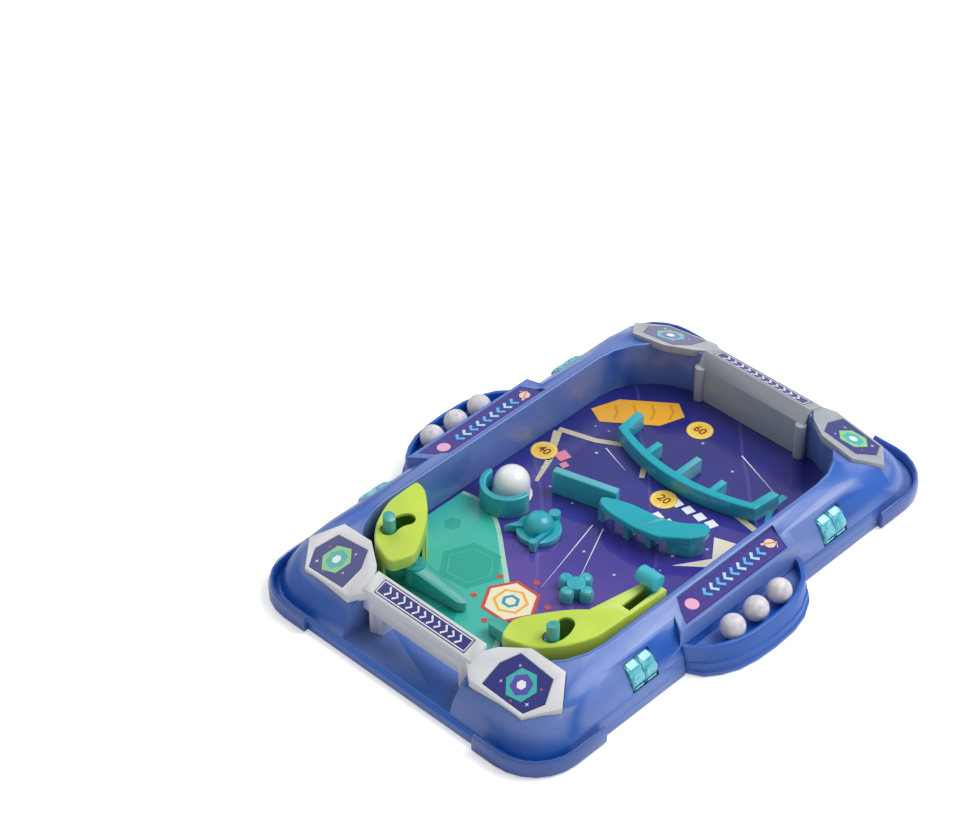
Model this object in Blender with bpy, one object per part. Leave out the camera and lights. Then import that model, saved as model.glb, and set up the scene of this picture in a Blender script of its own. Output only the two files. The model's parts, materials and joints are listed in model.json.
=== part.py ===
"""Tabletop pinball game with flippers, launch plunger, ball pockets and score counters.

Metres, +Z up. The origin is the centre of the footprint on the table. The player sits at -Y.
"""
import math

import bmesh
import bpy
from mathutils import Matrix, Vector

# Clearances and walls
MILLIMETRE = 0.001
SEAT_GAP = 0.0003
WALL = 0.0026
CUT_OVERRUN = 0.003

# Tray and play field opening
TRAY_HALF_WIDTH = 0.118
TRAY_HALF_LENGTH = 0.1835
TRAY_CORNER_RADIUS = 0.030
FIELD_HALF_WIDTH_SHARE = 0.76271
FIELD_HALF_LENGTH_SHARE = 0.77384
FIELD_CORNER_RADIUS = 0.050
OPENING_HALF_LENGTH_SHARE = 1.03873
LIP_HEIGHT = 0.038
LIP_WIDTH = 0.0022
LIP_STEP = 0.0007
LIP_EDGE = 0.0006
LEDGE_HEIGHT = 0.0065
LEDGE_RISE = 0.0008
LEDGE_SIDE = 0.0008
LEDGE_END = 0.0038
SIDE_CURVE_SHARE = 1.8
END_CURVE_SHARE = 1.45
SHOULDER_STEPS = 6
CORNER_STEPS = 6

# Floor of the tray: pan, feet, play field
SKIRT_BOTTOM = 0.0008
FOOT_HEIGHT = 0.0020
PAN_THICKNESS = 0.0013
SHEET_THICKNESS = 0.0006
FOOT_RADIUS = 0.007
FOOT_INSET = 0.034
PAN_SCREW_RADIUS = 0.0016
PAN_SCREW_HEAD_RADIUS = 0.0032
PAN_SCREW_LENGTH = 0.010
PAN_SCREW_HEAD_HEIGHT = 0.0008
PAN_SCREW_BOSS_RADIUS = 0.0042
PAN_SCREW_INSET_X = 0.022
PAN_SCREW_INSET_Y = 0.025

PAN_TOP = FOOT_HEIGHT + PAN_THICKNESS
SHEET_BOTTOM = PAN_TOP + SEAT_GAP
FIELD_LEVEL = SHEET_BOTTOM + SHEET_THICKNESS

# Front trough and drain
TROUGH_HALF_WIDTH_SHARE = 0.5
FRONT_LIP_THICKNESS = 0.0042
FRONT_LIP_HEIGHT = 0.0075
DRAIN_HEIGHT = 0.020

# Bridges
BAR_HALF_LENGTH_SHARE = 0.41111
BAR_SIDE_SHARE = 0.48889
BAR_INNER_SHARE = 1.04225
BAR_OUTER_SHARE = 1.13521
BAR_INNER_TOP = 0.0412
BAR_OUTER_TOP = 0.0362
BAR_SEAT = 0.0312
REAR_WALL_FACE_SHARE = 1.00704
REAR_WALL_SHOULDER = 0.031
REAR_WALL_GAP = 0.0012
REAR_POST_RADIUS = 0.0038
POST_RADIUS = 0.0075
POST_LOBES = 5
POST_LOBE_SHARE = 0.10
POST_Y_SHARE = 1.08803
PAD_THICKNESS = 0.0055
PAD_TILT_Y_SHARE = 0.364
PAD_TILT_X_SHARE = 0.138
PAD_REFERENCE_X_SHARE = 0.77778
PAD_REFERENCE_Y_SHARE = 1.05634
PAD_REFERENCE_TOP = 0.0352
LABEL_THICKNESS = 0.0006
LABEL_SINK = 0.0010
LABEL_MARGIN = 0.0005

# Ball pockets
POCKET_REACH = 0.0245
POCKET_FRONT_SHARE = 0.38732
POCKET_REAR_SHARE = 0.37676
POCKET_RIM = 0.0215
POCKET_FLOOR = 0.0140
POCKET_WALL = 0.0028
POCKET_FLANGE = 0.0035
POCKET_FLANGE_HEIGHT = 0.0035
PLATFORM_HALF_WIDTH_SHARE = 1.26222
PLATFORM_INNER_SHARE = 1.02778
PLATFORM_TOP = 0.0352
PLATFORM_SLOPE_SHARE = 0.11
BALL_RADIUS = 0.008
BALL_REST_REACH = 0.0116
BALL_PITCH_SHARE = 0.15141
BALL_MIDDLE_Y = -0.0005

# Corner bumpers
BUMPER_THICKNESS = 0.0036
BUMPER_HEIGHT = 0.0132
BUMPER_SIDE_REACH_SHARE = 0.39085
BUMPER_FRONT_REACH_SHARE = 0.53333

# Score counters
COUNTER_Y_SHARE = 0.61972
COUNTER_AXIS_X_SHARE = 1.15889
COUNTER_AXIS_Z = 0.0190
WHEEL_RADIUS_SHARE = 0.4
WHEEL_WIDTH = 0.0100
WHEEL_GAP = 0.0008
WHEEL_RIBS = 8
RIB_SHARE = 0.075
AXLE_RADIUS = 0.0014
AXLE_CLEARANCE = 0.00006
AXLE_BOSS_RADIUS = 0.0034
WINDOW_MARGIN = 0.0010

# Flipper covers
COVER_TOP = 0.041
COVER_ROOF = 0.0022
COVER_WALL = 0.0020
COVER_LINTEL = 0.0085
COVER_ROUNDING = 0.006
COVER_EDGE = 0.0008
PIVOT_X_SHARE = 0.56667
PIVOT_Y_SHARE = 0.78873
PIVOT_SCREW_RADIUS = 0.0016
PIVOT_BOSS_RADIUS = 0.0044
RUNNING_CLEARANCE = 0.00006
PEG_OFFSET_X = 0.0165
PEG_OFFSET_Y = 0.0046
PEG_RADIUS = 0.0040
PEG_RISE = 0.0105
PEG_TILT_SHARE = 0.25
SLOT_MARGIN = 0.0013
FLIPPER_TRAVEL_DEG = 42.0
FLIPPER_HUB_RADIUS = 0.0068
BLADE_TIP_X_SHARE = 0.11111
BLADE_ROOT_WIDTH = 0.012
BLADE_TIP_WIDTH = 0.0075
BLADE_ROOT_TOP = 0.0200
BLADE_TIP_TOP = 0.0125
BLADE_LIFT = 0.0009
BLADE_SWEEP = 0.0020

# Launch channel, plunger and spring
CHANNEL_REAR_Y_SHARE = 0.28521
CHANNEL_SLOT_FRONT_Y_SHARE = 0.48592
CHANNEL_SLOT_HALF_WIDTH = 0.0032
PLUNGER_X_SHARE = 0.90333
PLUNGER_ROD_RADIUS = 0.0015
PLUNGER_AXIS_Z = 0.0125
PLUNGER_ROD_FRONT_Y_SHARE = 0.56338
PLUNGER_ROD_REAR_Y_SHARE = 0.18662
PLUNGER_STEM_FRONT_Y_SHARE = 0.33451
PLUNGER_STEM_REAR_Y_SHARE = 0.30352
PLUNGER_STEM_CLEARANCE = 0.0004
PLUNGER_KNOB_RADIUS = 0.0056
PLUNGER_KNOB_LEFT_X_SHARE = 0.79444
PLUNGER_KNOB_RIGHT_X_SHARE = 0.96111
PLUNGER_KNOB_Z = 0.0468
SPRING_FRONT_Y_SHARE = 0.53873
SPRING_REAR_Y_SHARE = 0.35211
SPRING_RADIUS = 0.0023
SPRING_WIRE_RADIUS = 0.0004
SPRING_CURLS = 7
SPRING_CURL_POINTS = 8

# Play field furniture
CUP_X_SHARE = -0.69444
CUP_Y_SHARE = -0.12676
CUP_RADIUS = 0.018
CUP_WALL = 0.004
CUP_TOP = 0.020
DOME_OFFSET_X = -0.0015
DOME_OFFSET_Y = 0.0055
DOME_RADIUS = 0.0118
DOME_BRIM_RADIUS = 0.0132
DOME_BASE_HEIGHT = 0.0095
DOME_BRIM_HEIGHT = 0.0020
BARRIER_SHARES = ((-0.53889, 0.06761), (-0.05556, 0.15211))
BARRIER_THICKNESS = 0.006
BARRIER_TOP = 0.0220
RAIL_TOP = 0.0205
RAIL_PLATE = 0.0045
RAIL_LEG = 0.0042
COMB_TOP = 0.0155
COMB_BAR_WIDTH = 0.006
COMB_CENTRE_X_SHARE = 0.06111
COMB_HALF_WIDTH_SHARE = 0.63889
COMB_FRONT_Y_SHARE = 0.4507
COMB_BOW_SHARE = 0.09155
COMB_END_RISE_SHARE = 0.12676
COMB_TOOTH_WIDTH = 0.0045
COMB_STEPS = 12
PLANET_X_SHARE = -0.30556
PLANET_Y_SHARE = -0.18662
PLANET_RADIUS = 0.0100
PLANET_HEIGHT = 0.0145
RING_RADIUS = 0.0145
RING_THICKNESS = 0.0036
STAR_X_SHARE = 0.29222
STAR_Y_SHARE = -0.35775
STAR_ARM = 0.0130
STAR_LOBE_RADIUS = 0.0046
STAR_TOP = 0.0125

# Outlines as shares of the play field's half width and half length, for the right-hand side
COVER_OUTLINE_SHARES = (
    (0.505, -0.975), (0.735, -0.925), (0.850, -0.840), (0.915, -0.760), (0.955, -0.690), (0.963, -0.590),
    (0.963, -0.520), (0.860, -0.535), (0.715, -0.612), (0.635, -0.668), (0.560, -0.735), (0.485, -0.810),
    (0.448, -0.868),
)
CHANNEL_ARM_SHARES = (
    (0.730, -0.640), (0.955, -0.640), (0.982, -0.285), (0.835, -0.285),
)
PAD_OUTLINE_SHARES = (
    (0.425, 1.125), (0.560, 1.015), (0.735, 0.937), (1.015, 0.925), (1.163, 1.045), (1.000, 1.172),
    (0.560, 1.188),
)
PAD_LABEL_SHARES = (
    (0.645, 1.165), (0.640, 1.060), (0.705, 0.980), (0.985, 0.980), (1.055, 1.075), (0.985, 1.155),
)
PLATFORM_OUTLINE_SHARES = (
    (1.020, -0.300), (1.262, -0.395), (1.262, 0.375), (1.020, 0.400),
)
DECK_LABEL_SHARES = (
    (1.052, -0.268), (1.232, -0.338), (1.232, 0.310), (1.052, 0.352),
)
POCKET_OUTLINE_SHARES = (
    (0.0, -1.0), (0.12, -0.985), (0.48, -0.835), (0.70, -0.690), (0.88, -0.500), (0.97, -0.270),
    (1.0, 0.0), (0.97, 0.330), (0.86, 0.560), (0.64, 0.770), (0.40, 0.890), (0.12, 0.985), (0.0, 1.0),
)
RAIL_OUTLINE_SHARES = (
    (-0.080, 0.048), (0.030, 0.030), (0.250, 0.031), (0.433, 0.056), (0.617, 0.148), (0.672, 0.205),
    (0.655, 0.250), (0.600, 0.275), (0.478, 0.204), (0.333, 0.162), (0.110, 0.145), (-0.020, 0.120),
    (-0.120, 0.085),
)
RAIL_LEG_SHARES = ((-0.075, 0.085), (0.170, 0.075), (0.340, 0.100))
RAIL_END_SHARES = ((0.470, 0.100), (0.617, 0.148), (0.660, 0.205), (0.600, 0.262), (0.478, 0.190))
COMB_TEETH_SHARES = (-0.480, 0.0, 0.455)
COMB_TEETH_REACH_SHARES = (0.200, 0.330, 0.205)
DOME_PROFILE_SHARES = (
    (1.0, 0.0), (0.985, 0.22), (0.93, 0.45), (0.82, 0.66), (0.66, 0.82), (0.45, 0.935), (0.23, 0.985),
)

# Sizes and places that follow the tray and its play field
FIELD_HALF_WIDTH = TRAY_HALF_WIDTH * FIELD_HALF_WIDTH_SHARE
FIELD_HALF_LENGTH = TRAY_HALF_LENGTH * FIELD_HALF_LENGTH_SHARE
WHEEL_RADIUS = (TRAY_HALF_WIDTH - FIELD_HALF_WIDTH) * WHEEL_RADIUS_SHARE
OPENING_HALF_LENGTH = FIELD_HALF_LENGTH * OPENING_HALF_LENGTH_SHARE
BAR_INNER = FIELD_HALF_LENGTH * BAR_INNER_SHARE
BAR_OUTER = FIELD_HALF_LENGTH * BAR_OUTER_SHARE
REAR_WALL_FACE = FIELD_HALF_LENGTH * REAR_WALL_FACE_SHARE
POST_Y = FIELD_HALF_LENGTH * POST_Y_SHARE
PAD_REFERENCE_Y = FIELD_HALF_LENGTH * PAD_REFERENCE_Y_SHARE
POCKET_FRONT = FIELD_HALF_LENGTH * POCKET_FRONT_SHARE
POCKET_REAR = FIELD_HALF_LENGTH * POCKET_REAR_SHARE
BALL_PITCH = FIELD_HALF_LENGTH * BALL_PITCH_SHARE
BUMPER_SIDE_REACH = FIELD_HALF_LENGTH * BUMPER_SIDE_REACH_SHARE
COUNTER_Y = FIELD_HALF_LENGTH * COUNTER_Y_SHARE
PIVOT_Y = FIELD_HALF_LENGTH * PIVOT_Y_SHARE
CHANNEL_REAR_Y = FIELD_HALF_LENGTH * CHANNEL_REAR_Y_SHARE
CHANNEL_SLOT_FRONT_Y = FIELD_HALF_LENGTH * CHANNEL_SLOT_FRONT_Y_SHARE
PLUNGER_ROD_FRONT_Y = FIELD_HALF_LENGTH * PLUNGER_ROD_FRONT_Y_SHARE
PLUNGER_ROD_REAR_Y = FIELD_HALF_LENGTH * PLUNGER_ROD_REAR_Y_SHARE
PLUNGER_STEM_FRONT_Y = FIELD_HALF_LENGTH * PLUNGER_STEM_FRONT_Y_SHARE
PLUNGER_STEM_REAR_Y = FIELD_HALF_LENGTH * PLUNGER_STEM_REAR_Y_SHARE
SPRING_FRONT_Y = FIELD_HALF_LENGTH * SPRING_FRONT_Y_SHARE
SPRING_REAR_Y = FIELD_HALF_LENGTH * SPRING_REAR_Y_SHARE
CUP_Y = FIELD_HALF_LENGTH * CUP_Y_SHARE
COMB_FRONT_Y = FIELD_HALF_LENGTH * COMB_FRONT_Y_SHARE
COMB_BOW = FIELD_HALF_LENGTH * COMB_BOW_SHARE
COMB_END_RISE = FIELD_HALF_LENGTH * COMB_END_RISE_SHARE
PLANET_Y = FIELD_HALF_LENGTH * PLANET_Y_SHARE
STAR_Y = FIELD_HALF_LENGTH * STAR_Y_SHARE
BAR_HALF_LENGTH = FIELD_HALF_WIDTH * BAR_HALF_LENGTH_SHARE
BAR_SIDE = FIELD_HALF_WIDTH * BAR_SIDE_SHARE
TROUGH_HALF_WIDTH = FIELD_HALF_WIDTH * TROUGH_HALF_WIDTH_SHARE
PLATFORM_HALF_WIDTH = FIELD_HALF_WIDTH * PLATFORM_HALF_WIDTH_SHARE
PLATFORM_INNER = FIELD_HALF_WIDTH * PLATFORM_INNER_SHARE
COUNTER_AXIS_X = FIELD_HALF_WIDTH * COUNTER_AXIS_X_SHARE
PIVOT_X = FIELD_HALF_WIDTH * PIVOT_X_SHARE
BLADE_TIP_X = FIELD_HALF_WIDTH * BLADE_TIP_X_SHARE
PLUNGER_X = FIELD_HALF_WIDTH * PLUNGER_X_SHARE
PLUNGER_KNOB_LEFT_X = FIELD_HALF_WIDTH * PLUNGER_KNOB_LEFT_X_SHARE
PLUNGER_KNOB_RIGHT_X = FIELD_HALF_WIDTH * PLUNGER_KNOB_RIGHT_X_SHARE
CUP_X = FIELD_HALF_WIDTH * CUP_X_SHARE
COMB_CENTRE_X = FIELD_HALF_WIDTH * COMB_CENTRE_X_SHARE
COMB_HALF_WIDTH = FIELD_HALF_WIDTH * COMB_HALF_WIDTH_SHARE
PLANET_X = FIELD_HALF_WIDTH * PLANET_X_SHARE
STAR_X = FIELD_HALF_WIDTH * STAR_X_SHARE
PAD_REFERENCE_X = FIELD_HALF_WIDTH * PAD_REFERENCE_X_SHARE
BUMPER_FRONT_REACH = FIELD_HALF_WIDTH * BUMPER_FRONT_REACH_SHARE
BALL_REST_X = PLATFORM_HALF_WIDTH + BALL_REST_REACH
PEG_X = PIVOT_X + PEG_OFFSET_X
PEG_Y = PIVOT_Y + PEG_OFFSET_Y
DOME_X = CUP_X + DOME_OFFSET_X
DOME_Y = CUP_Y + DOME_OFFSET_Y


def plain_material(name, colour, roughness, metallic=0):
    """Returns a Principled material with one colour."""
    material = bpy.data.materials.new(name)
    material.use_nodes = True
    shader = material.node_tree.nodes["Principled BSDF"]
    shader.inputs["Base Color"].default_value = (*colour, 1)
    shader.inputs["Roughness"].default_value = roughness
    shader.inputs["Metallic"].default_value = metallic
    return material


def rounded_rectangle(half_x, half_y, radius, steps=CORNER_STEPS):
    """Returns the outline of a rounded rectangle, anticlockwise from the +X +Y corner."""
    points = []
    for corner, (sign_x, sign_y) in enumerate(((1, 1), (-1, 1), (-1, -1), (1, -1))):
        centre_x = sign_x * (half_x - radius)
        centre_y = sign_y * (half_y - radius)
        for step in range(steps + 1):
            angle = math.radians(90) * (corner + step / steps)
            points.append((centre_x + radius * math.cos(angle), centre_y + radius * math.sin(angle)))
    return points


def circle(centre_x, centre_y, radius, steps=24):
    """Returns the outline of a circle."""
    return [(centre_x + radius * math.cos(math.tau * step / steps),
             centre_y + radius * math.sin(math.tau * step / steps)) for step in range(steps)]


def field_points(shares, side=1, end=1):
    """Returns outline points from shares of the play field's half sizes, mirrored where asked."""
    points = [(side * x * FIELD_HALF_WIDTH, end * y * FIELD_HALF_LENGTH) for x, y in shares]
    return points


def signed_area(points):
    """Returns twice the signed area of an outline."""
    total = 0
    for index, (x, y) in enumerate(points):
        next_x, next_y = points[(index + 1) % len(points)]
        total += x * next_y - next_x * y
    return total


def inset(points, distance):
    """Returns a convex or gently curved outline moved inwards by a distance."""
    if signed_area(points) < 0:
        points = points[::-1]
    moved = []
    for index, point in enumerate(points):
        before = Vector(points[index - 1])
        here = Vector(point)
        after = Vector(points[(index + 1) % len(points)])
        first = (here - before).normalized()
        second = (after - here).normalized()
        normal_1 = Vector((-first.y, first.x))
        normal_2 = Vector((-second.y, second.x))
        bisector = (normal_1 + normal_2).normalized()
        moved.append(tuple(here + bisector * (distance / max(bisector.dot(normal_1), 1 / 3))))
    return moved


def rounded(points, radius, steps=3):
    """Returns an outline with each corner turned into a small arc-like curve."""
    curved = []
    for index, point in enumerate(points):
        here = Vector(point)
        before = Vector(points[index - 1])
        after = Vector(points[(index + 1) % len(points)])
        reach_1 = min(radius, (before - here).length / 3)
        reach_2 = min(radius, (after - here).length / 3)
        start = here + (before - here).normalized() * reach_1
        stop = here + (after - here).normalized() * reach_2
        for step in range(steps + 1):
            share = step / steps
            curved.append(tuple(start.lerp(here, share).lerp(here.lerp(stop, share), share)))
    return curved


def mesh_object(name, bm, material, smooth_deg=35):
    """Turns a bmesh into a named object with one material, smooth shaded below an angle."""
    bmesh.ops.recalc_face_normals(bm, faces=bm.faces)
    if bm.calc_volume(signed=True) < 0:
        bmesh.ops.reverse_faces(bm, faces=bm.faces)
    mesh = bpy.data.meshes.new(name)
    bm.to_mesh(mesh)
    bm.free()
    mesh.shade_smooth()
    mesh.set_sharp_from_angle(angle=math.radians(smooth_deg))
    if material is not None:
        mesh.materials.append(material)
    thing = bpy.data.objects.new(name, mesh)
    bpy.context.collection.objects.link(thing)
    return thing


def loft(name, rings, material=None, closed=False):
    """Skins a list of rings that have the same number of points; caps the ends unless closed."""
    bm = bmesh.new()
    rows = [[bm.verts.new(point) for point in ring] for ring in rings]
    count = len(rows[0])
    spans = len(rows) if closed else len(rows) - 1
    for index in range(spans):
        lower = rows[index]
        upper = rows[(index + 1) % len(rows)]
        for step in range(count):
            follow = (step + 1) % count
            bm.faces.new((lower[step], lower[follow], upper[follow], upper[step]))
    if not closed:
        bm.faces.new(rows[0][::-1])
        bm.faces.new(rows[-1])
    return mesh_object(name, bm, material)


def prism(name, points, bottom, top, material=None, edge=0):
    """Raises a plan outline into a closed solid; edge is the size of a chamfer on the top."""
    if signed_area(points) < 0:
        points = points[::-1]
    rings = [[(x, y, bottom) for x, y in points]]
    if edge:
        rings.append([(x, y, top - edge) for x, y in points])
        points = inset(points, edge)
    rings.append([(x, y, top) for x, y in points])
    return loft(name, rings, material)


def box(name, low, high, material=None):
    """Returns a box between two corners."""
    outline = [(low[0], low[1]), (high[0], low[1]), (high[0], high[1]), (low[0], high[1])]
    return prism(name, outline, low[2], high[2], material)


def turned(name, profile, material, steps=24, centre=(0, 0, 0)):
    """Turns a profile of (radius, height) points round a vertical axis; a zero radius is a pole."""
    bm = bmesh.new()
    rows = []
    for radius, height in profile:
        if radius == 0:
            rows.append([bm.verts.new((centre[0], centre[1], centre[2] + height))])
            continue
        rows.append([bm.verts.new((x, y, centre[2] + height))
                     for x, y in circle(centre[0], centre[1], radius, steps)])
    for lower, upper in zip(rows, rows[1:]):
        for step in range(steps):
            follow = (step + 1) % steps
            corners = [lower[step % len(lower)], lower[follow % len(lower)],
                       upper[follow % len(upper)], upper[step % len(upper)]]
            unique = list(dict.fromkeys(corners))
            if len(unique) > 2:
                bm.faces.new(unique)
    if len(rows[0]) > 1:
        bm.faces.new(rows[0][::-1])
    if len(rows[-1]) > 1:
        bm.faces.new(rows[-1])
    return mesh_object(name, bm, material)


def combine(target, other, operation):
    """Applies a Boolean with another object, which is then removed."""
    modifier = target.modifiers.new(operation.title(), 'BOOLEAN')
    modifier.operation = operation
    modifier.solver = 'EXACT'
    modifier.object = other
    graph = bpy.context.evaluated_depsgraph_get()
    mesh = bpy.data.meshes.new_from_object(target.evaluated_get(graph))
    target.modifiers.clear()
    old = target.data
    mesh.name = old.name
    target.data = mesh
    bpy.data.meshes.remove(old)
    bpy.data.objects.remove(other, do_unlink=True)
    return target


def cut(target, *cutters):
    """Cuts other objects out of an object."""
    for cutter in cutters:
        combine(target, cutter, 'DIFFERENCE')
    return target


def join(target, *others):
    """Joins other objects to an object."""
    for other in others:
        combine(target, other, 'UNION')
    return target


def set_origin(thing, origin):
    """Moves an object's origin to a point and keeps its shape in place."""
    thing.data.transform(Matrix.Translation(-Vector(origin)))
    thing.location = origin
    return thing


def level_ring(half_x, half_y, radius, height):
    """Returns a rounded rectangle at one height."""
    return [(x, y, height) for x, y in rounded_rectangle(half_x, half_y, radius)]


def sloped_prism(name, points, bottom, top, material=None):
    """Raises an outline between two surfaces given as functions of x and y."""
    if signed_area(points) < 0:
        points = points[::-1]
    return loft(name, [[(x, y, bottom(x, y)) for x, y in points],
                       [(x, y, top(x, y)) for x, y in points]], material)


def bar_solid(name, section, half_length, material=None):
    """Extrudes a (y, z) section along X, evenly to both sides."""
    return loft(name, [[(-half_length, y, z) for y, z in section],
                       [(half_length, y, z) for y, z in section]], material)


def post(name, x, y, radius, bottom, top, material=None, steps=20):
    """Returns a round upright post."""
    return prism(name, circle(x, y, radius, steps), bottom, top, material)


def rod_along_y(name, x, z, radius, front, rear, material=None, steps=16):
    """Returns a round rod that runs along Y."""
    rings = [[(x + px, y, z + pz) for px, pz in circle(0, 0, radius, steps)] for y in (front, rear)]
    return loft(name, rings, material)


def shell_rings(side_x, side_y, corner, inner_x, inner_y, inner_corner, bottom, top):
    """Returns the outer rings of the tray's shoulder, from its foot up to the lip."""
    ledge_top = LEDGE_HEIGHT + LEDGE_RISE
    rings = [level_ring(side_x, side_y, corner, bottom), level_ring(side_x, side_y, corner, LEDGE_HEIGHT)]
    start_x = side_x - LEDGE_SIDE
    start_y = side_y - LEDGE_END
    for step in range(SHOULDER_STEPS + 1):
        rise = math.sin(math.radians(90) * step / SHOULDER_STEPS)
        share_x = 1 - (1 - rise ** SIDE_CURVE_SHARE) ** (1 / SIDE_CURVE_SHARE)
        share_y = 1 - (1 - rise ** END_CURVE_SHARE) ** (1 / END_CURVE_SHARE)
        mean_share = (share_x + share_y) / 2
        rings.append(level_ring(start_x + (inner_x - start_x) * share_x,
                                start_y + (inner_y - start_y) * share_y,
                                corner + (inner_corner - corner) * mean_share,
                                ledge_top + (top - ledge_top) * rise))
    return rings


def pad_top(x, y):
    """Height of the tilted pad tops and of the bars' label face."""
    return (PAD_REFERENCE_TOP - PAD_TILT_Y_SHARE * (abs(y) - PAD_REFERENCE_Y)
            - PAD_TILT_X_SHARE * (abs(x) - PAD_REFERENCE_X))


def pad_bottom(x, y):
    """Height of the tilted pads' underside."""
    return pad_top(x, y) - PAD_THICKNESS


def bar_top(x, y):
    """Height of a bar's sloping top."""
    share = (abs(y) - BAR_INNER) / (BAR_OUTER - BAR_INNER)
    return BAR_INNER_TOP + (BAR_OUTER_TOP - BAR_INNER_TOP) * share


def platform_top(x, y):
    """Height of the deck beside a ball pocket, which falls gently outwards."""
    return PLATFORM_TOP - PLATFORM_SLOPE_SHARE * (abs(x) - PLATFORM_INNER)


def shifted(surface, distance):
    """Returns a surface function moved up by a distance."""
    return lambda x, y: surface(x, y) + distance


def level(height):
    """Returns a flat surface function."""
    return lambda x, y: height


def pan_screw_places():
    """Returns the places of the four screws that hold the base pan."""
    return [(side * (TRAY_HALF_WIDTH - PAN_SCREW_INSET_X), end * (TRAY_HALF_LENGTH - PAN_SCREW_INSET_Y))
            for side in (-1, 1) for end in (-1, 1)]


def counter_places():
    """Returns the side and end of the four score counters with their names."""
    return [("left_front", -1, -1), ("right_front", 1, -1), ("left_rear", -1, 1), ("right_rear", 1, 1)]


def counter_half_length():
    """Half the length of a pair of score wheels along the axle."""
    return WHEEL_WIDTH + WHEEL_GAP / 2


def bridge_seat_cutters(depth, grow):
    """Returns the spaces that the pads and bars take out of the deck."""
    spaces = []
    for side in (-1, 1):
        for end in (-1, 1):
            outline = inset(field_points(PAD_OUTLINE_SHARES, side, end), -grow)
            spaces.append(sloped_prism("pad_space", outline, shifted(pad_bottom, -depth),
                                       level(LIP_HEIGHT * 2)))
    rear_seat = BAR_SEAT - depth
    spaces.append(box("bar_space", (-BAR_SIDE - grow, OPENING_HALF_LENGTH - CUT_OVERRUN, rear_seat),
                      (BAR_SIDE + grow, BAR_OUTER + grow, LIP_HEIGHT * 2)))
    return spaces


def build_top_frame(material):
    """The tray: a moulded shell with a convex shoulder, open below, with the front trough."""
    lip_x = FIELD_HALF_WIDTH + LIP_WIDTH
    lip_y = OPENING_HALF_LENGTH + LIP_WIDTH
    lip_corner = FIELD_CORNER_RADIUS + LIP_WIDTH
    rings = shell_rings(TRAY_HALF_WIDTH, TRAY_HALF_LENGTH, TRAY_CORNER_RADIUS,
                        lip_x, lip_y, lip_corner, SKIRT_BOTTOM, LIP_HEIGHT - LIP_STEP)
    rings.append(level_ring(lip_x - LIP_STEP / 2, lip_y - LIP_STEP / 2, lip_corner, LIP_HEIGHT))
    rings.append(level_ring(FIELD_HALF_WIDTH + LIP_EDGE, OPENING_HALF_LENGTH + LIP_EDGE,
                            FIELD_CORNER_RADIUS + LIP_EDGE, LIP_HEIGHT))
    rings.append(level_ring(FIELD_HALF_WIDTH, OPENING_HALF_LENGTH, FIELD_CORNER_RADIUS,
                            LIP_HEIGHT - LIP_EDGE))
    rings.append(level_ring(FIELD_HALF_WIDTH, OPENING_HALF_LENGTH, FIELD_CORNER_RADIUS, SKIRT_BOTTOM))
    frame = loft("top_frame", rings, material, closed=True)
    for side in (-1, 1):
        join(frame, sloped_prism("platform", field_points(PLATFORM_OUTLINE_SHARES, side),
                                 level(LEDGE_HEIGHT), platform_top))
    cut(frame, build_hollow())
    pan_space = prism("pan_space", rounded_rectangle(TRAY_HALF_WIDTH - WALL, TRAY_HALF_LENGTH - WALL,
                                                     TRAY_CORNER_RADIUS - WALL),
                      -CUT_OVERRUN, PAN_TOP + SEAT_GAP)
    cut(frame, pan_space, *bridge_seat_cutters(SEAT_GAP, SEAT_GAP))
    trough_front = TRAY_HALF_LENGTH - FRONT_LIP_THICKNESS
    cut(frame, box("trough", (-TROUGH_HALF_WIDTH, -trough_front, FIELD_LEVEL),
                   (TROUGH_HALF_WIDTH, -OPENING_HALF_LENGTH + CUT_OVERRUN, LIP_HEIGHT * 2)),
        box("front_lip_space", (-TROUGH_HALF_WIDTH, -TRAY_HALF_LENGTH - CUT_OVERRUN, FRONT_LIP_HEIGHT),
            (TROUGH_HALF_WIDTH, -trough_front + CUT_OVERRUN, LIP_HEIGHT * 2)))
    for side in (-1, 1):
        low_x, high_x = sorted((side * PLATFORM_HALF_WIDTH, side * (TRAY_HALF_WIDTH + CUT_OVERRUN)))
        cut(frame, box("pocket_space", (low_x, -POCKET_FRONT - SEAT_GAP, -CUT_OVERRUN),
                       (high_x, POCKET_REAR + SEAT_GAP, LIP_HEIGHT * 2)))
        label = inset(field_points(DECK_LABEL_SHARES, side), -LABEL_MARGIN)
        cut(frame, sloped_prism("label_recess", label, shifted(platform_top, -LABEL_SINK),
                                level(LIP_HEIGHT * 2)))
    for _, side, end in counter_places():
        half = counter_half_length() + WINDOW_MARGIN
        cut(frame, rod_along_y("window", side * COUNTER_AXIS_X, COUNTER_AXIS_Z,
                               WHEEL_RADIUS + WINDOW_MARGIN, end * COUNTER_Y - half,
                               end * COUNTER_Y + half, steps=32))
        reach = half + WALL + CUT_OVERRUN
        cut(frame, rod_along_y("axle_hole", side * COUNTER_AXIS_X, COUNTER_AXIS_Z,
                               AXLE_RADIUS + SEAT_GAP, end * COUNTER_Y - reach,
                               end * COUNTER_Y + reach))
    for x, y in pan_screw_places():
        cut(frame, post("screw_hole", x, y, PAN_SCREW_RADIUS + SEAT_GAP, -CUT_OVERRUN,
                        FOOT_HEIGHT + PAN_SCREW_LENGTH + CUT_OVERRUN, steps=16))
    return frame


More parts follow.
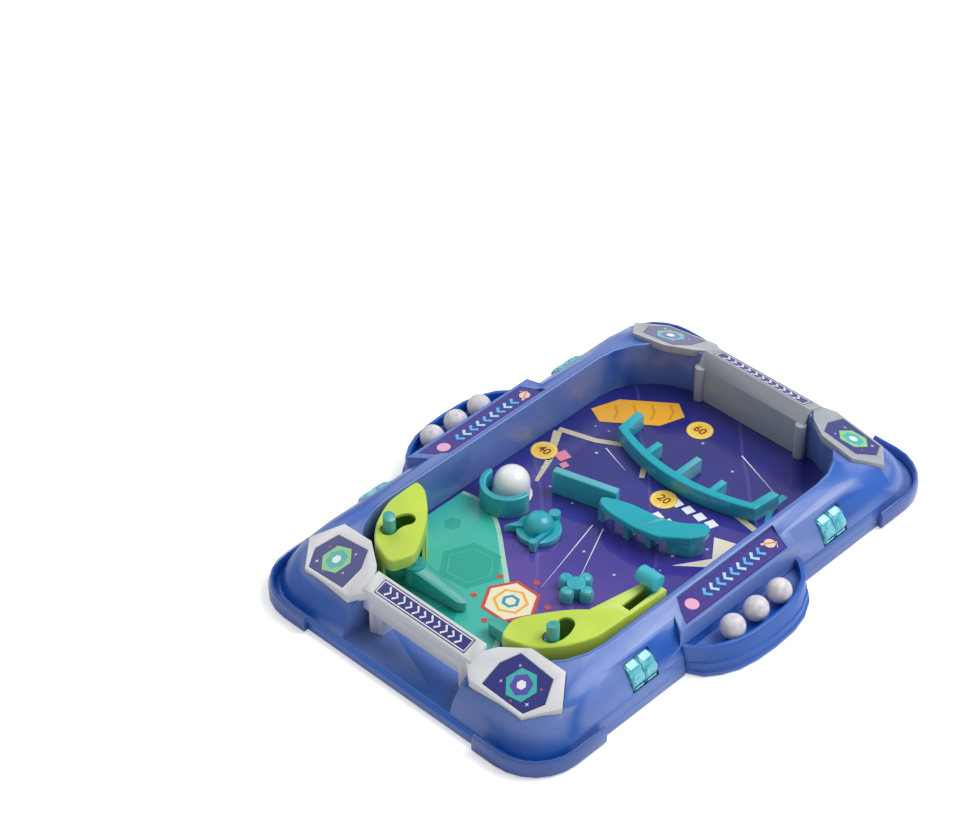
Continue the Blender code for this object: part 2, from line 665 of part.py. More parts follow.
def build_hollow():
    """The space inside the tray's shell, with solid stock left for bosses, brackets and seats."""
    inner_x = FIELD_HALF_WIDTH + LIP_WIDTH
    inner_y = OPENING_HALF_LENGTH + LIP_WIDTH
    rings = shell_rings(TRAY_HALF_WIDTH - WALL, TRAY_HALF_LENGTH - WALL, TRAY_CORNER_RADIUS - WALL,
                        inner_x, inner_y, FIELD_CORNER_RADIUS + WALL, -CUT_OVERRUN,
                        LIP_HEIGHT - LIP_STEP - WALL)
    wall_x = FIELD_HALF_WIDTH + WALL
    wall_y = OPENING_HALF_LENGTH + WALL
    rings[-1] = level_ring(wall_x, wall_y, FIELD_CORNER_RADIUS + WALL, LIP_HEIGHT - LIP_STEP - WALL)
    rings.append(level_ring(wall_x, wall_y, FIELD_CORNER_RADIUS + WALL, -CUT_OVERRUN))
    hollow = loft("hollow", rings, closed=True)
    cut(hollow, *bridge_seat_cutters(WALL, WALL))
    cut(hollow, box("trough_stock", (-TROUGH_HALF_WIDTH - WALL, -TRAY_HALF_LENGTH, -WALL),
                    (TROUGH_HALF_WIDTH + WALL, -FIELD_HALF_LENGTH, LIP_HEIGHT * 2)))
    for side in (-1, 1):
        low_x, high_x = sorted((side * (PLATFORM_HALF_WIDTH - WALL), side * (TRAY_HALF_WIDTH + CUT_OVERRUN)))
        cut(hollow, box("side_stock", (low_x, -POCKET_FRONT - WALL, -CUT_OVERRUN * 2),
                        (high_x, POCKET_REAR + WALL, LIP_HEIGHT * 2)))
    for _, side, end in counter_places():
        for way in (-1, 1):
            middle = end * COUNTER_Y + way * (counter_half_length() + WINDOW_MARGIN + WALL / 2)
            cut(hollow, box("bracket_stock",
                            (side * COUNTER_AXIS_X - AXLE_BOSS_RADIUS, middle - WALL / 2,
                             COUNTER_AXIS_Z - AXLE_BOSS_RADIUS),
                            (side * COUNTER_AXIS_X + AXLE_BOSS_RADIUS, middle + WALL / 2,
                             LIP_HEIGHT * 2)))
    for x, y in pan_screw_places():
        cut(hollow, post("boss_stock", x, y, PAN_SCREW_BOSS_RADIUS, -CUT_OVERRUN * 2, LIP_HEIGHT * 2))
    return hollow


def build_floor(materials):
    """The base pan, its feet and screws, and the glossy play field sheet."""
    pan_edge = WALL + SEAT_GAP
    pan = prism("base_pan", rounded_rectangle(TRAY_HALF_WIDTH - pan_edge, TRAY_HALF_LENGTH - pan_edge,
                                              TRAY_CORNER_RADIUS - pan_edge),
                FOOT_HEIGHT, PAN_TOP, materials["pan"])
    for side in (-1, 1):
        low_x, high_x = sorted((side * (PLATFORM_HALF_WIDTH - pan_edge), side * TRAY_HALF_WIDTH))
        cut(pan, box("pan_notch", (low_x, -POCKET_FRONT - pan_edge, -CUT_OVERRUN),
                     (high_x, POCKET_REAR + pan_edge, PAN_TOP + CUT_OVERRUN)))
    for index, (x, y) in enumerate(pan_screw_places()):
        cut(pan, post("hole", x, y, PAN_SCREW_RADIUS + SEAT_GAP, -CUT_OVERRUN, PAN_TOP + CUT_OVERRUN,
                      steps=16))
        head_top = FOOT_HEIGHT - SEAT_GAP
        screw = turned(f"pan_screw_{index + 1}",
                       ((PAN_SCREW_HEAD_RADIUS * 3 / 4, head_top - PAN_SCREW_HEAD_HEIGHT),
                        (PAN_SCREW_HEAD_RADIUS, head_top), (PAN_SCREW_RADIUS, head_top),
                        (PAN_SCREW_RADIUS, FOOT_HEIGHT + PAN_SCREW_LENGTH)),
                       materials["steel"], 12, (x, y, 0))
    sheet_x = FIELD_HALF_WIDTH - SEAT_GAP
    sheet_y = OPENING_HALF_LENGTH - SEAT_GAP
    prism("playfield_sheet", rounded_rectangle(sheet_x, sheet_y, FIELD_CORNER_RADIUS - SEAT_GAP),
          SHEET_BOTTOM, FIELD_LEVEL, materials["sheet"])
    index = 0
    for side in (-1, 1):
        for end in (-1, 1):
            index += 1
            turned(f"foot_{index}", ((FOOT_RADIUS * 5 / 6, 0), (FOOT_RADIUS, FOOT_HEIGHT / 3),
                                     (FOOT_RADIUS, FOOT_HEIGHT - SEAT_GAP)),
                   materials["rubber"], 20,
                   (side * (TRAY_HALF_WIDTH - FOOT_INSET), end * (TRAY_HALF_LENGTH - FOOT_INSET), 0))


def pad_label_outline(side, end):
    """Outline of the label on one pad."""
    return field_points(PAD_LABEL_SHARES, side, end)


def bar_label_outline(end):
    """Outline of the label on a bar."""
    inner = end * (BAR_INNER + LABEL_MARGIN * 4)
    outer = end * (BAR_OUTER - LABEL_MARGIN * 4)
    return [(-BAR_HALF_LENGTH, inner), (BAR_HALF_LENGTH, inner), (BAR_HALF_LENGTH, outer),
            (-BAR_HALF_LENGTH, outer)]


def lobed_outline(x, y, radius):
    """Outline of a bridge post with soft lobes."""
    points = []
    for angle_x, angle_y in circle(0, 0, 1, POST_LOBES * 4):
        turn = math.atan2(angle_y, angle_x)
        reach = radius * (1 - POST_LOBE_SHARE * (1 + math.cos(POST_LOBES * turn)))
        points.append((x + reach * angle_x, y + reach * angle_y))
    return points


def build_bridge(name, end, material):
    """A bar across one end of the tray with a tilted pad on the deck at each side."""
    if end < 0:
        low = DRAIN_HEIGHT
        section = [(-BAR_INNER, low), (-BAR_INNER, BAR_INNER_TOP), (-BAR_OUTER, BAR_OUTER_TOP),
                   (-BAR_OUTER, low)]
        half = TROUGH_HALF_WIDTH - SEAT_GAP
    else:
        foot = FIELD_LEVEL + SEAT_GAP
        back = OPENING_HALF_LENGTH - REAR_WALL_GAP
        section = [(REAR_WALL_FACE, foot), (back, foot), (back, BAR_SEAT), (BAR_OUTER, BAR_SEAT),
                   (BAR_OUTER, BAR_OUTER_TOP), (BAR_INNER, BAR_INNER_TOP),
                   (REAR_WALL_FACE, REAR_WALL_SHOULDER)]
        half = BAR_SIDE
    bridge = bar_solid(name, section, half, material)
    for side in (-1, 1):
        join(bridge, sloped_prism("pad", field_points(PAD_OUTLINE_SHARES, side, end), pad_bottom, pad_top))
        if end < 0:
            centre = side * (TROUGH_HALF_WIDTH - POST_RADIUS - SEAT_GAP)
            join(bridge, prism("post", lobed_outline(centre, -POST_Y, POST_RADIUS),
                               FIELD_LEVEL + SEAT_GAP, (DRAIN_HEIGHT + BAR_OUTER_TOP) / 2))
        else:
            centre = side * (BAR_SIDE - REAR_POST_RADIUS / 2)
            join(bridge, post("post", centre, OPENING_HALF_LENGTH - SEAT_GAP * 2 - REAR_POST_RADIUS,
                              REAR_POST_RADIUS, FIELD_LEVEL + SEAT_GAP, REAR_WALL_SHOULDER))
        label = inset(pad_label_outline(side, end), -LABEL_MARGIN)
        cut(bridge, sloped_prism("recess", label, shifted(pad_top, -LABEL_SINK), level(LIP_HEIGHT * 2)))
    label = inset(bar_label_outline(end), -LABEL_MARGIN)
    cut(bridge, sloped_prism("recess", label, shifted(bar_top, -LABEL_SINK), level(LIP_HEIGHT * 2)))
    return bridge


def build_label(name, outline, surface, material):
    """A thin printed plate in its recess."""
    low = SEAT_GAP - LABEL_SINK
    return sloped_prism(name, outline, shifted(surface, low), shifted(surface, low + LABEL_THICKNESS),
                        material)


def pocket_ring(reach, flare, height, side):
    """Outline of a ball pocket at one height; the flare widens only what stands clear of the tray."""
    root = PLATFORM_HALF_WIDTH + SEAT_GAP
    clear_share = (TRAY_HALF_WIDTH + SEAT_GAP * 2 - root) / POCKET_REACH
    ring = []
    for share_x, share_y in POCKET_OUTLINE_SHARES:
        length = POCKET_REAR if share_y > 0 else POCKET_FRONT
        if share_x > clear_share:
            length += flare
        ring.append((side * (root + share_x * reach), share_y * length, height))
    return ring


def build_pocket(name, side, material):
    """A bowl beside the tray that holds three balls, with a stepped outer wall."""
    flange = POCKET_REACH + POCKET_FLANGE
    foot = POCKET_REACH + POCKET_FLANGE * 2 / 3
    step = POCKET_REACH + POCKET_FLANGE / 3
    step_height = POCKET_FLOOR * 2 / 3
    rings = [pocket_ring(flange, POCKET_FLANGE, SKIRT_BOTTOM, side),
             pocket_ring(flange, POCKET_FLANGE, POCKET_FLANGE_HEIGHT, side),
             pocket_ring(foot, POCKET_FLANGE / 2, POCKET_FLANGE_HEIGHT + LEDGE_RISE, side),
             pocket_ring(foot, POCKET_FLANGE / 2, step_height, side),
             pocket_ring(step, 0, step_height + LEDGE_RISE, side),
             pocket_ring(POCKET_REACH, 0, POCKET_RIM - LEDGE_RISE, side),
             pocket_ring(POCKET_REACH - LEDGE_RISE, 0, POCKET_RIM, side)]
    pocket = loft(name, rings, material)
    hollow = []
    shrink = POCKET_WALL / POCKET_REACH
    for share_x, share_y in POCKET_OUTLINE_SHARES:
        length = (POCKET_REAR if share_y > 0 else POCKET_FRONT) - POCKET_WALL * 5 / 4
        x = PLATFORM_HALF_WIDTH + SEAT_GAP + share_x * POCKET_REACH * (1 - shrink)
        hollow.append((side * x, share_y * length))
    root_x = side * (PLATFORM_HALF_WIDTH - CUT_OVERRUN)
    hollow[0] = (root_x, hollow[0][1])
    hollow[-1] = (root_x, hollow[-1][1])
    hollow.insert(1, (side * (PLATFORM_HALF_WIDTH + SEAT_GAP * 2), hollow[0][1]))
    hollow.insert(-1, (side * (PLATFORM_HALF_WIDTH + SEAT_GAP * 2), hollow[-1][1]))
    return cut(pocket, prism("pocket_hollow", hollow, POCKET_FLOOR, POCKET_RIM + CUT_OVERRUN))


def build_balls(material):
    """Three balls in each pocket."""
    names = ("front", "middle", "rear")
    for side_name, side in (("left", -1), ("right", 1)):
        for index, name in enumerate(names):
            place = (side * BALL_REST_X, BALL_MIDDLE_Y + (index - 1) * BALL_PITCH,
                     POCKET_FLOOR + SEAT_GAP + BALL_RADIUS)
            bm = bmesh.new()
            bmesh.ops.create_uvsphere(bm, u_segments=14, v_segments=8, radius=BALL_RADIUS)
            ball = mesh_object(f"ball_{side_name}_{name}", bm, material, 60)
            ball.location = place


def build_bumper(name, side, end, material):
    """A half-round lip that wraps one corner of the tray."""
    height = BUMPER_HEIGHT
    section = ((0, SKIRT_BOTTOM), (BUMPER_THICKNESS * 5 / 6, SKIRT_BOTTOM),
               (BUMPER_THICKNESS, SKIRT_BOTTOM * 2), (BUMPER_THICKNESS, height * 2 / 3),
               (BUMPER_THICKNESS * 5 / 6, height * 6 / 7), (BUMPER_THICKNESS / 2, height),
               (BUMPER_THICKNESS / 6, height * 6 / 7 + LEDGE_RISE), (0, height * 5 / 6))
    centre = (TRAY_HALF_WIDTH - TRAY_CORNER_RADIUS, TRAY_HALF_LENGTH - TRAY_CORNER_RADIUS)
    path = [((TRAY_HALF_WIDTH, TRAY_HALF_LENGTH - BUMPER_SIDE_REACH), (1, 0))]
    for step in range(CORNER_STEPS + 1):
        angle = math.radians(90) * step / CORNER_STEPS
        normal = (math.cos(angle), math.sin(angle))
        path.append(((centre[0] + TRAY_CORNER_RADIUS * normal[0],
                      centre[1] + TRAY_CORNER_RADIUS * normal[1]), normal))
    path.append(((TRAY_HALF_WIDTH - BUMPER_FRONT_REACH, TRAY_HALF_LENGTH), (0, 1)))
    rings = []
    for (x, y), (normal_x, normal_y) in path:
        rings.append([(side * (x + normal_x * (out + SEAT_GAP)), end * (y + normal_y * (out + SEAT_GAP)), z)
                      for out, z in section])
    return loft(name, rings, material)


def wheel_solid(name, centre, material):
    """A ribbed score wheel on the counter's axle, with its bore."""
    steps = WHEEL_RIBS * 3
    radii = (1, 1, 1 - RIB_SHARE)
    outer = []
    for step in range(steps):
        angle = math.tau * (step + 1 / 2) / steps
        radius = WHEEL_RADIUS * radii[step % len(radii)]
        outer.append((radius * math.cos(angle), radius * math.sin(angle)))
    bore = AXLE_RADIUS + AXLE_CLEARANCE
    half = WHEEL_WIDTH / 2
    inner = [(bore * math.cos(math.tau * (step + 1 / 2) / steps),
              bore * math.sin(math.tau * (step + 1 / 2) / steps)) for step in range(steps)]
    rings = [[(x, y, z) for x, z in outline] for outline, y in
             ((outer, -half), (outer, half), (inner, half), (inner, -half))]
    wheel = loft(name, rings, material, closed=True)
    wheel.location = centre
    return wheel


def build_counters(materials):
    """Four score counters: an axle in two brackets with a pair of wheels on it."""
    for name, side, end in counter_places():
        x = side * COUNTER_AXIS_X
        reach = counter_half_length() + WINDOW_MARGIN + WALL
        rod_along_y(f"counter_axle_{name}", x, COUNTER_AXIS_Z, AXLE_RADIUS, end * COUNTER_Y - reach,
                    end * COUNTER_Y + reach, materials["steel"])
        for digit, way in (("tens", -1), ("ones", 1)):
            y = end * COUNTER_Y + way * (WHEEL_GAP + WHEEL_WIDTH) / 2
            wheel_solid(f"score_wheel_{name}_{digit}", (x, y, COUNTER_AXIS_Z), materials["wheel"])


def build_cover(name, side, material):
    """A leaf-shaped hollow cover over one flipper; the right one carries the launch channel."""
    foot = FIELD_LEVEL + SEAT_GAP
    plan = field_points(COVER_OUTLINE_SHARES, side)
    cover = prism(name, rounded(plan, COVER_ROUNDING), foot, COVER_TOP, material, COVER_EDGE)
    inner = rounded(inset(plan, COVER_WALL), COVER_ROUNDING)
    hollow = prism("cover_hollow", inner, -CUT_OVERRUN, COVER_TOP - COVER_ROOF)
    if side > 0:
        arm_outline = field_points(CHANNEL_ARM_SHARES, side)
        join(cover, prism("arm", arm_outline, foot, COVER_TOP - COVER_EDGE))
        arm_hollow = prism("arm_hollow", inset(arm_outline, COVER_WALL), -CUT_OVERRUN,
                           COVER_TOP - COVER_ROOF * 3 / 2)
        join(arm_hollow, box("arm_link", (PLUNGER_X - CHANNEL_SLOT_HALF_WIDTH,
                                          -FIELD_HALF_LENGTH * 2 / 3, -CUT_OVERRUN),
                             (PLUNGER_X + CHANNEL_SLOT_HALF_WIDTH, -CHANNEL_SLOT_FRONT_Y,
                              COVER_TOP - COVER_ROOF * 2)))
        join(hollow, arm_hollow)
    boss_low = BLADE_ROOT_TOP + BLADE_LIFT + SEAT_GAP
    x = side * PIVOT_X
    cut(hollow, post("boss_stock", x, -PIVOT_Y, PIVOT_BOSS_RADIUS, boss_low, COVER_TOP * 2))
    cut(cover, hollow)
    low_x, high_x = sorted((side * BLADE_TIP_X, side * (PIVOT_X + FLIPPER_HUB_RADIUS / 2)))
    cut(cover, box("blade_door", (low_x, -FIELD_HALF_LENGTH - CUT_OVERRUN, -CUT_OVERRUN),
                   (high_x, -PIVOT_Y + FLIPPER_HUB_RADIUS + BLADE_ROOT_WIDTH / 2,
                    COVER_TOP - COVER_LINTEL)))
    cut(cover, build_peg_slot(side),
        post("pivot_hole", x, -PIVOT_Y, PIVOT_SCREW_RADIUS + SEAT_GAP, -CUT_OVERRUN,
             COVER_TOP - COVER_ROOF, steps=16))
    if side > 0:
        cut(cover, box("channel_slot", (PLUNGER_X - CHANNEL_SLOT_HALF_WIDTH, -CHANNEL_SLOT_FRONT_Y,
                                        (COVER_TOP + PLUNGER_AXIS_Z) / 2),
                       (PLUNGER_X + CHANNEL_SLOT_HALF_WIDTH, -CHANNEL_REAR_Y + CUT_OVERRUN, COVER_TOP * 2)),
            rod_along_y("rod_hole", PLUNGER_X, PLUNGER_AXIS_Z, PLUNGER_ROD_RADIUS + SEAT_GAP,
                        -CHANNEL_SLOT_FRONT_Y, -CHANNEL_REAR_Y + CUT_OVERRUN))
    return cover


def build_peg_slot(side):
    """The curved slot that a flipper's peg swings in."""
    reach_x = PEG_X - PIVOT_X
    reach_y = PIVOT_Y - PEG_Y
    radius = math.hypot(reach_x, reach_y)
    start = math.atan2(reach_y, reach_x)
    half = PEG_RADIUS + SLOT_MARGIN
    margin = SLOT_MARGIN / radius
    steps = 8
    angles = [start - margin + (math.radians(FLIPPER_TRAVEL_DEG) + margin * 2) * step / steps
              for step in range(steps + 1)]
    outline = [((radius + half) * math.cos(angle), (radius + half) * math.sin(angle)) for angle in angles]
    for step in range(1, steps):
        turn = angles[-1] + math.pi * step / steps
        outline.append((radius * math.cos(angles[-1]) + half * math.cos(turn),
                        radius * math.sin(angles[-1]) + half * math.sin(turn)))
    outline += [((radius - half) * math.cos(angle), (radius - half) * math.sin(angle))
                for angle in reversed(angles)]
    for step in range(1, steps):
        turn = angles[0] + math.pi + math.pi * step / steps
        outline.append((radius * math.cos(angles[0]) + half * math.cos(turn),
                        radius * math.sin(angles[0]) + half * math.sin(turn)))
    points = [(side * (PIVOT_X + x), -PIVOT_Y + y) for x, y in outline]
    return prism("peg_slot", points, COVER_TOP - COVER_LINTEL, COVER_TOP * 2)


def build_flipper(name, side, materials):
    """A tapered blade, its hub, and the arm and finger peg, all turning about the pivot."""
    foot = FIELD_LEVEL + SEAT_GAP + BLADE_LIFT
    hub = post(name, side * PIVOT_X, -PIVOT_Y, FLIPPER_HUB_RADIUS, foot, BLADE_ROOT_TOP, materials["flipper"])
    tip_y = -PIVOT_Y + BLADE_SWEEP
    root = BLADE_ROOT_WIDTH / 2
    tip = BLADE_TIP_WIDTH / 2
    outline = [(side * PIVOT_X, -PIVOT_Y - root), (side * PIVOT_X, -PIVOT_Y + root),
               (side * (BLADE_TIP_X + tip), tip_y + tip), (side * (BLADE_TIP_X + tip / 4), tip_y + tip / 2),
               (side * BLADE_TIP_X, tip_y), (side * (BLADE_TIP_X + tip / 4), tip_y - tip / 2),
               (side * (BLADE_TIP_X + tip), tip_y - tip)]
    slope = (BLADE_ROOT_TOP - BLADE_TIP_TOP) / (PIVOT_X - BLADE_TIP_X)
    join(hub, sloped_prism("blade", outline, level(foot + SEAT_GAP),
                           lambda x, y: BLADE_TIP_TOP - SEAT_GAP + slope * (abs(x) - BLADE_TIP_X)))
    arm_low = (foot + BLADE_ROOT_TOP) / 2
    along = Vector((PEG_X - PIVOT_X, PIVOT_Y - PEG_Y)).normalized()
    across = Vector((-along.y, along.x)) * (PEG_RADIUS * 3 / 4)
    start = Vector((PIVOT_X, -PIVOT_Y))
    stop = Vector((PEG_X, -PEG_Y))
    arm = [start - across, stop - across, stop + across, start + across]
    join(hub, prism("arm", [(side * point.x, point.y) for point in arm], arm_low,
                    BLADE_ROOT_TOP - SEAT_GAP * 2))
    peg_top = COVER_TOP + PEG_RISE
    peg = sloped_prism("peg", circle(side * PEG_X, -PEG_Y, PEG_RADIUS, 20), level(arm_low + SEAT_GAP),
                       lambda x, y: peg_top - (PEG_X + PEG_RADIUS - abs(x)) * PEG_TILT_SHARE)
    join(hub, peg)
    cut(hub, post("bore", side * PIVOT_X, -PIVOT_Y, PIVOT_SCREW_RADIUS + RUNNING_CLEARANCE, -CUT_OVERRUN,
                  COVER_TOP, steps=16))
    set_origin(hub, (side * PIVOT_X, -PIVOT_Y, FIELD_LEVEL))
    pin = post(f"flipper_pivot_{'left' if side < 0 else 'right'}", side * PIVOT_X, -PIVOT_Y,
               PIVOT_SCREW_RADIUS, FIELD_LEVEL + SEAT_GAP, COVER_TOP - COVER_ROOF - SEAT_GAP,
               materials["steel"], steps=16)
    return hub, pin


def build_plunger(materials):
    """The launch plunger: a rod along the channel, a stem through its slot and a chunky knob."""
    rod = rod_along_y("launch_plunger", PLUNGER_X, PLUNGER_AXIS_Z, PLUNGER_ROD_RADIUS,
                      -PLUNGER_ROD_FRONT_Y, -PLUNGER_ROD_REAR_Y, materials["teal"])
    half = CHANNEL_SLOT_HALF_WIDTH - PLUNGER_STEM_CLEARANCE
    stem_low = PLUNGER_AXIS_Z - PLUNGER_ROD_RADIUS / 2
    join(rod, box("stem", (PLUNGER_X - half, -PLUNGER_STEM_FRONT_Y, stem_low),
                  (PLUNGER_X + half, -PLUNGER_STEM_REAR_Y, PLUNGER_KNOB_Z)))
    middle_y = -(PLUNGER_STEM_FRONT_Y + PLUNGER_STEM_REAR_Y) / 2
    rings = []
    edge = PLUNGER_KNOB_RADIUS / 6
    for x, radius in ((PLUNGER_KNOB_LEFT_X, PLUNGER_KNOB_RADIUS - edge),
                      (PLUNGER_KNOB_LEFT_X + edge, PLUNGER_KNOB_RADIUS),
                      (PLUNGER_KNOB_RIGHT_X - edge, PLUNGER_KNOB_RADIUS),
                      (PLUNGER_KNOB_RIGHT_X, PLUNGER_KNOB_RADIUS - edge)):
        rings.append([(x, middle_y + py, PLUNGER_KNOB_Z + pz) for py, pz in circle(0, 0, radius, 24)])
    join(rod, loft("knob", rings))
    return rod


def build_spring(material):
    """The plunger's return spring: one unbroken coil along the rod, with straight ends."""
    count = SPRING_CURLS * SPRING_CURL_POINTS
    length = SPRING_FRONT_Y - SPRING_REAR_Y
    points = []
    for step in range(count + 1):
        angle = math.tau * step / SPRING_CURL_POINTS
        y = -SPRING_FRONT_Y + length * step / count
        points.append(Vector((PLUNGER_X + SPRING_RADIUS * math.cos(angle), y,
                              PLUNGER_AXIS_Z + SPRING_RADIUS * math.sin(angle))))
    least = min((points[one] - points[two]).length for one in range(count + 1)
                for two in range(one + SPRING_CURL_POINTS // 2, count + 1))
    print("least gap of the spring to itself, mm:",
          round((least - SPRING_WIRE_RADIUS * 2) / MILLIMETRE, 2))
    curve = bpy.data.curves.new("plunger_spring", 'CURVE')
    curve.dimensions = '3D'
    curve.bevel_depth = SPRING_WIRE_RADIUS
    curve.bevel_resolution = 1
    curve.use_fill_caps = True
    spline = curve.splines.new('POLY')
    spline.points.add(len(points) - 1)
    for spot, point in zip(spline.points, points):
        spot.co = (*point, 1)
    curve.materials.append(material)
    spring = bpy.data.objects.new("plunger_spring", curve)
    bpy.context.collection.objects.link(spring)
    return spring


def build_cup(material):
    """A half ring that is open to the rear."""
    steps = 18
    outer = []
    inner = []
    for step in range(steps + 1):
        angle = math.pi + math.pi * step / steps
        outer.append((CUP_X + CUP_RADIUS * math.cos(angle), CUP_Y + CUP_RADIUS * math.sin(angle)))
        reach = CUP_RADIUS - CUP_WALL
        inner.append((CUP_X + reach * math.cos(angle), CUP_Y + reach * math.sin(angle)))
    ends = CUP_WALL / 2
    outline = outer + [(outer[-1][0] - ends / 2, outer[-1][1] + ends),
                       (inner[-1][0] + ends / 2, inner[-1][1] + ends)] + inner[::-1]
    outline += [(inner[0][0] - ends / 2, inner[0][1] + ends), (outer[0][0] + ends / 2, outer[0][1] + ends)]
    return prism("ball_cup", outline, FIELD_LEVEL + SEAT_GAP, CUP_TOP, material, SEAT_GAP * 2)


def build_dome(material):
    """The white bell dome with a brim."""
    base = FIELD_LEVEL + SEAT_GAP
    profile = [(DOME_BRIM_RADIUS, base), (DOME_BRIM_RADIUS, base + DOME_BRIM_HEIGHT),
               (DOME_RADIUS, base + DOME_BRIM_HEIGHT + LEDGE_RISE)]
    profile += [(share * DOME_RADIUS, base + DOME_BASE_HEIGHT + rise * DOME_RADIUS)
                for share, rise in DOME_PROFILE_SHARES]
    profile.append((0, base + DOME_BASE_HEIGHT + DOME_RADIUS))
    return turned("bell_dome", profile, material, 20, (DOME_X, DOME_Y, 0))


def build_barrier(material):
    """The straight barrier."""
    start, stop = [Vector(place) for place in field_points(BARRIER_SHARES)]
    across = (stop - start).normalized()
    across = Vector((-across.y, across.x)) * (BARRIER_THICKNESS / 2)
    outline = [tuple(start - across), tuple(stop - across), tuple(stop + across), tuple(start + across)]
    return prism("straight_barrier", rounded(outline, BARRIER_THICKNESS / 6), FIELD_LEVEL + SEAT_GAP,
                 BARRIER_TOP, material, SEAT_GAP * 2)


def build_rail(material):
    """The arched rail: a flat plate on short legs with a solid right end."""
    outline = rounded(field_points(RAIL_OUTLINE_SHARES), RAIL_LEG)
    rail = prism("arched_rail", outline, RAIL_TOP - RAIL_PLATE, RAIL_TOP, material, SEAT_GAP * 2)
    foot = FIELD_LEVEL + SEAT_GAP
    for x, y in field_points(RAIL_LEG_SHARES):
        join(rail, box("leg", (x - RAIL_LEG / 2, y - RAIL_LEG, foot),
                       (x + RAIL_LEG / 2, y + RAIL_LEG, RAIL_TOP - RAIL_PLATE / 2)))
    return join(rail, prism("solid_end", field_points(RAIL_END_SHARES), foot, RAIL_TOP - RAIL_PLATE / 2))


def build_comb(material):
    """The bowed comb rail with three teeth and turned-up ends."""
    front = []
    rear = []
    for step in range(COMB_STEPS + 1):
        share = 2 * step / COMB_STEPS - 1
        x = COMB_CENTRE_X + share * COMB_HALF_WIDTH
        y = COMB_FRONT_Y - COMB_BAR_WIDTH / 2 + COMB_BOW * share * share
        front.append((x, y))
        rear.append((x, y + COMB_BAR_WIDTH))
    foot = FIELD_LEVEL + SEAT_GAP
    comb = prism("comb_rail", front + rear[::-1], foot, COMB_TOP, material, SEAT_GAP * 2)
    for side in (-1, 1):
        x = COMB_CENTRE_X + side * COMB_HALF_WIDTH
        y = COMB_FRONT_Y + COMB_BOW
        inner_x = x - side * COMB_BAR_WIDTH
        outline = [(x, y - COMB_BAR_WIDTH / 3), (x + side * COMB_BAR_WIDTH / 3, y + COMB_END_RISE),
                   (inner_x + side * COMB_BAR_WIDTH / 3, y + COMB_END_RISE), (inner_x, y - COMB_BAR_WIDTH / 3)]
        join(comb, prism("end", outline, foot, COMB_TOP - SEAT_GAP))
    for share, reach in zip(COMB_TEETH_SHARES, COMB_TEETH_REACH_SHARES):
        x = COMB_CENTRE_X + share * COMB_HALF_WIDTH
        y = COMB_FRONT_Y + COMB_BOW * share * share
        join(comb, box("tooth", (x - COMB_TOOTH_WIDTH / 2, y, foot),
                       (x + COMB_TOOTH_WIDTH / 2, y + reach * FIELD_HALF_LENGTH / 2, COMB_TOP - SEAT_GAP)))
    return comb


def build_planet(material):
    """A bumper shaped like a planet with a ring, a tail, a lobe and a stalk."""
    foot = FIELD_LEVEL + SEAT_GAP
    base = RING_THICKNESS
    rise = PLANET_HEIGHT - base
    profile = [(RING_RADIUS, 0), (RING_RADIUS, base), (PLANET_RADIUS, base)]
    profile += [(share * PLANET_RADIUS, base + height * rise) for share, height in DOME_PROFILE_SHARES[1:]]
    profile.append((0, PLANET_HEIGHT))
    planet = turned("ringed_bumper", profile, material, 18, (PLANET_X, PLANET_Y, foot))
    width = PLANET_RADIUS / 4
    low = foot + SEAT_GAP
    tail = [(PLANET_X - RING_RADIUS / 2, PLANET_Y + RING_RADIUS / 2),
            (PLANET_X - RING_RADIUS - width / 2, PLANET_Y - RING_RADIUS),
            (PLANET_X - RING_RADIUS / 2, PLANET_Y - RING_RADIUS / 2)]
    join(planet, prism("tail", tail, low, foot + base * 3 / 2),
         post("lobe", PLANET_X, PLANET_Y + RING_RADIUS, width * 3 / 2, low, foot + base * 2, steps=16),
         box("stalk", (PLANET_X + RING_RADIUS / 2, PLANET_Y - RING_RADIUS, low),
             (PLANET_X + RING_RADIUS / 2 + width, PLANET_Y, foot + base * 2)),
         post("stalk_end", PLANET_X + RING_RADIUS / 2 + width / 2, PLANET_Y - RING_RADIUS, width, low,
              foot + base * 2 + SEAT_GAP, steps=14))
    return planet


def build_star(material):
    """The four-armed star bumper with a lobe at the end of each arm."""
    foot = FIELD_LEVEL + SEAT_GAP
    star = post("star_bumper", STAR_X, STAR_Y, STAR_LOBE_RADIUS * 5 / 4, foot, STAR_TOP, material, steps=20)
    for index in range(4):
        angle = math.radians(90) * index
        along = Vector((math.cos(angle), math.sin(angle)))
        across = Vector((-along.y, along.x)) * (STAR_LOBE_RADIUS * 3 / 5)
        centre = Vector((STAR_X, STAR_Y))
        reach = centre + along * (STAR_ARM - STAR_LOBE_RADIUS)
        join(star, prism("arm", [tuple(centre - across), tuple(reach - across), tuple(reach + across),
                                 tuple(centre + across)], foot + SEAT_GAP, STAR_TOP - SEAT_GAP * 6),
             turned("lobe", ((STAR_LOBE_RADIUS, 0), (STAR_LOBE_RADIUS, STAR_TOP / 2),
                             (STAR_LOBE_RADIUS * 3 / 4, STAR_TOP * 5 / 8), (0, STAR_TOP * 11 / 16)),
                    None, 14, (reach.x, reach.y, foot)))
    return star


def clear_scene():
    """Removes everything that a new file starts with."""
    for thing in list(bpy.data.objects):
        bpy.data.objects.remove(thing, do_unlink=True)


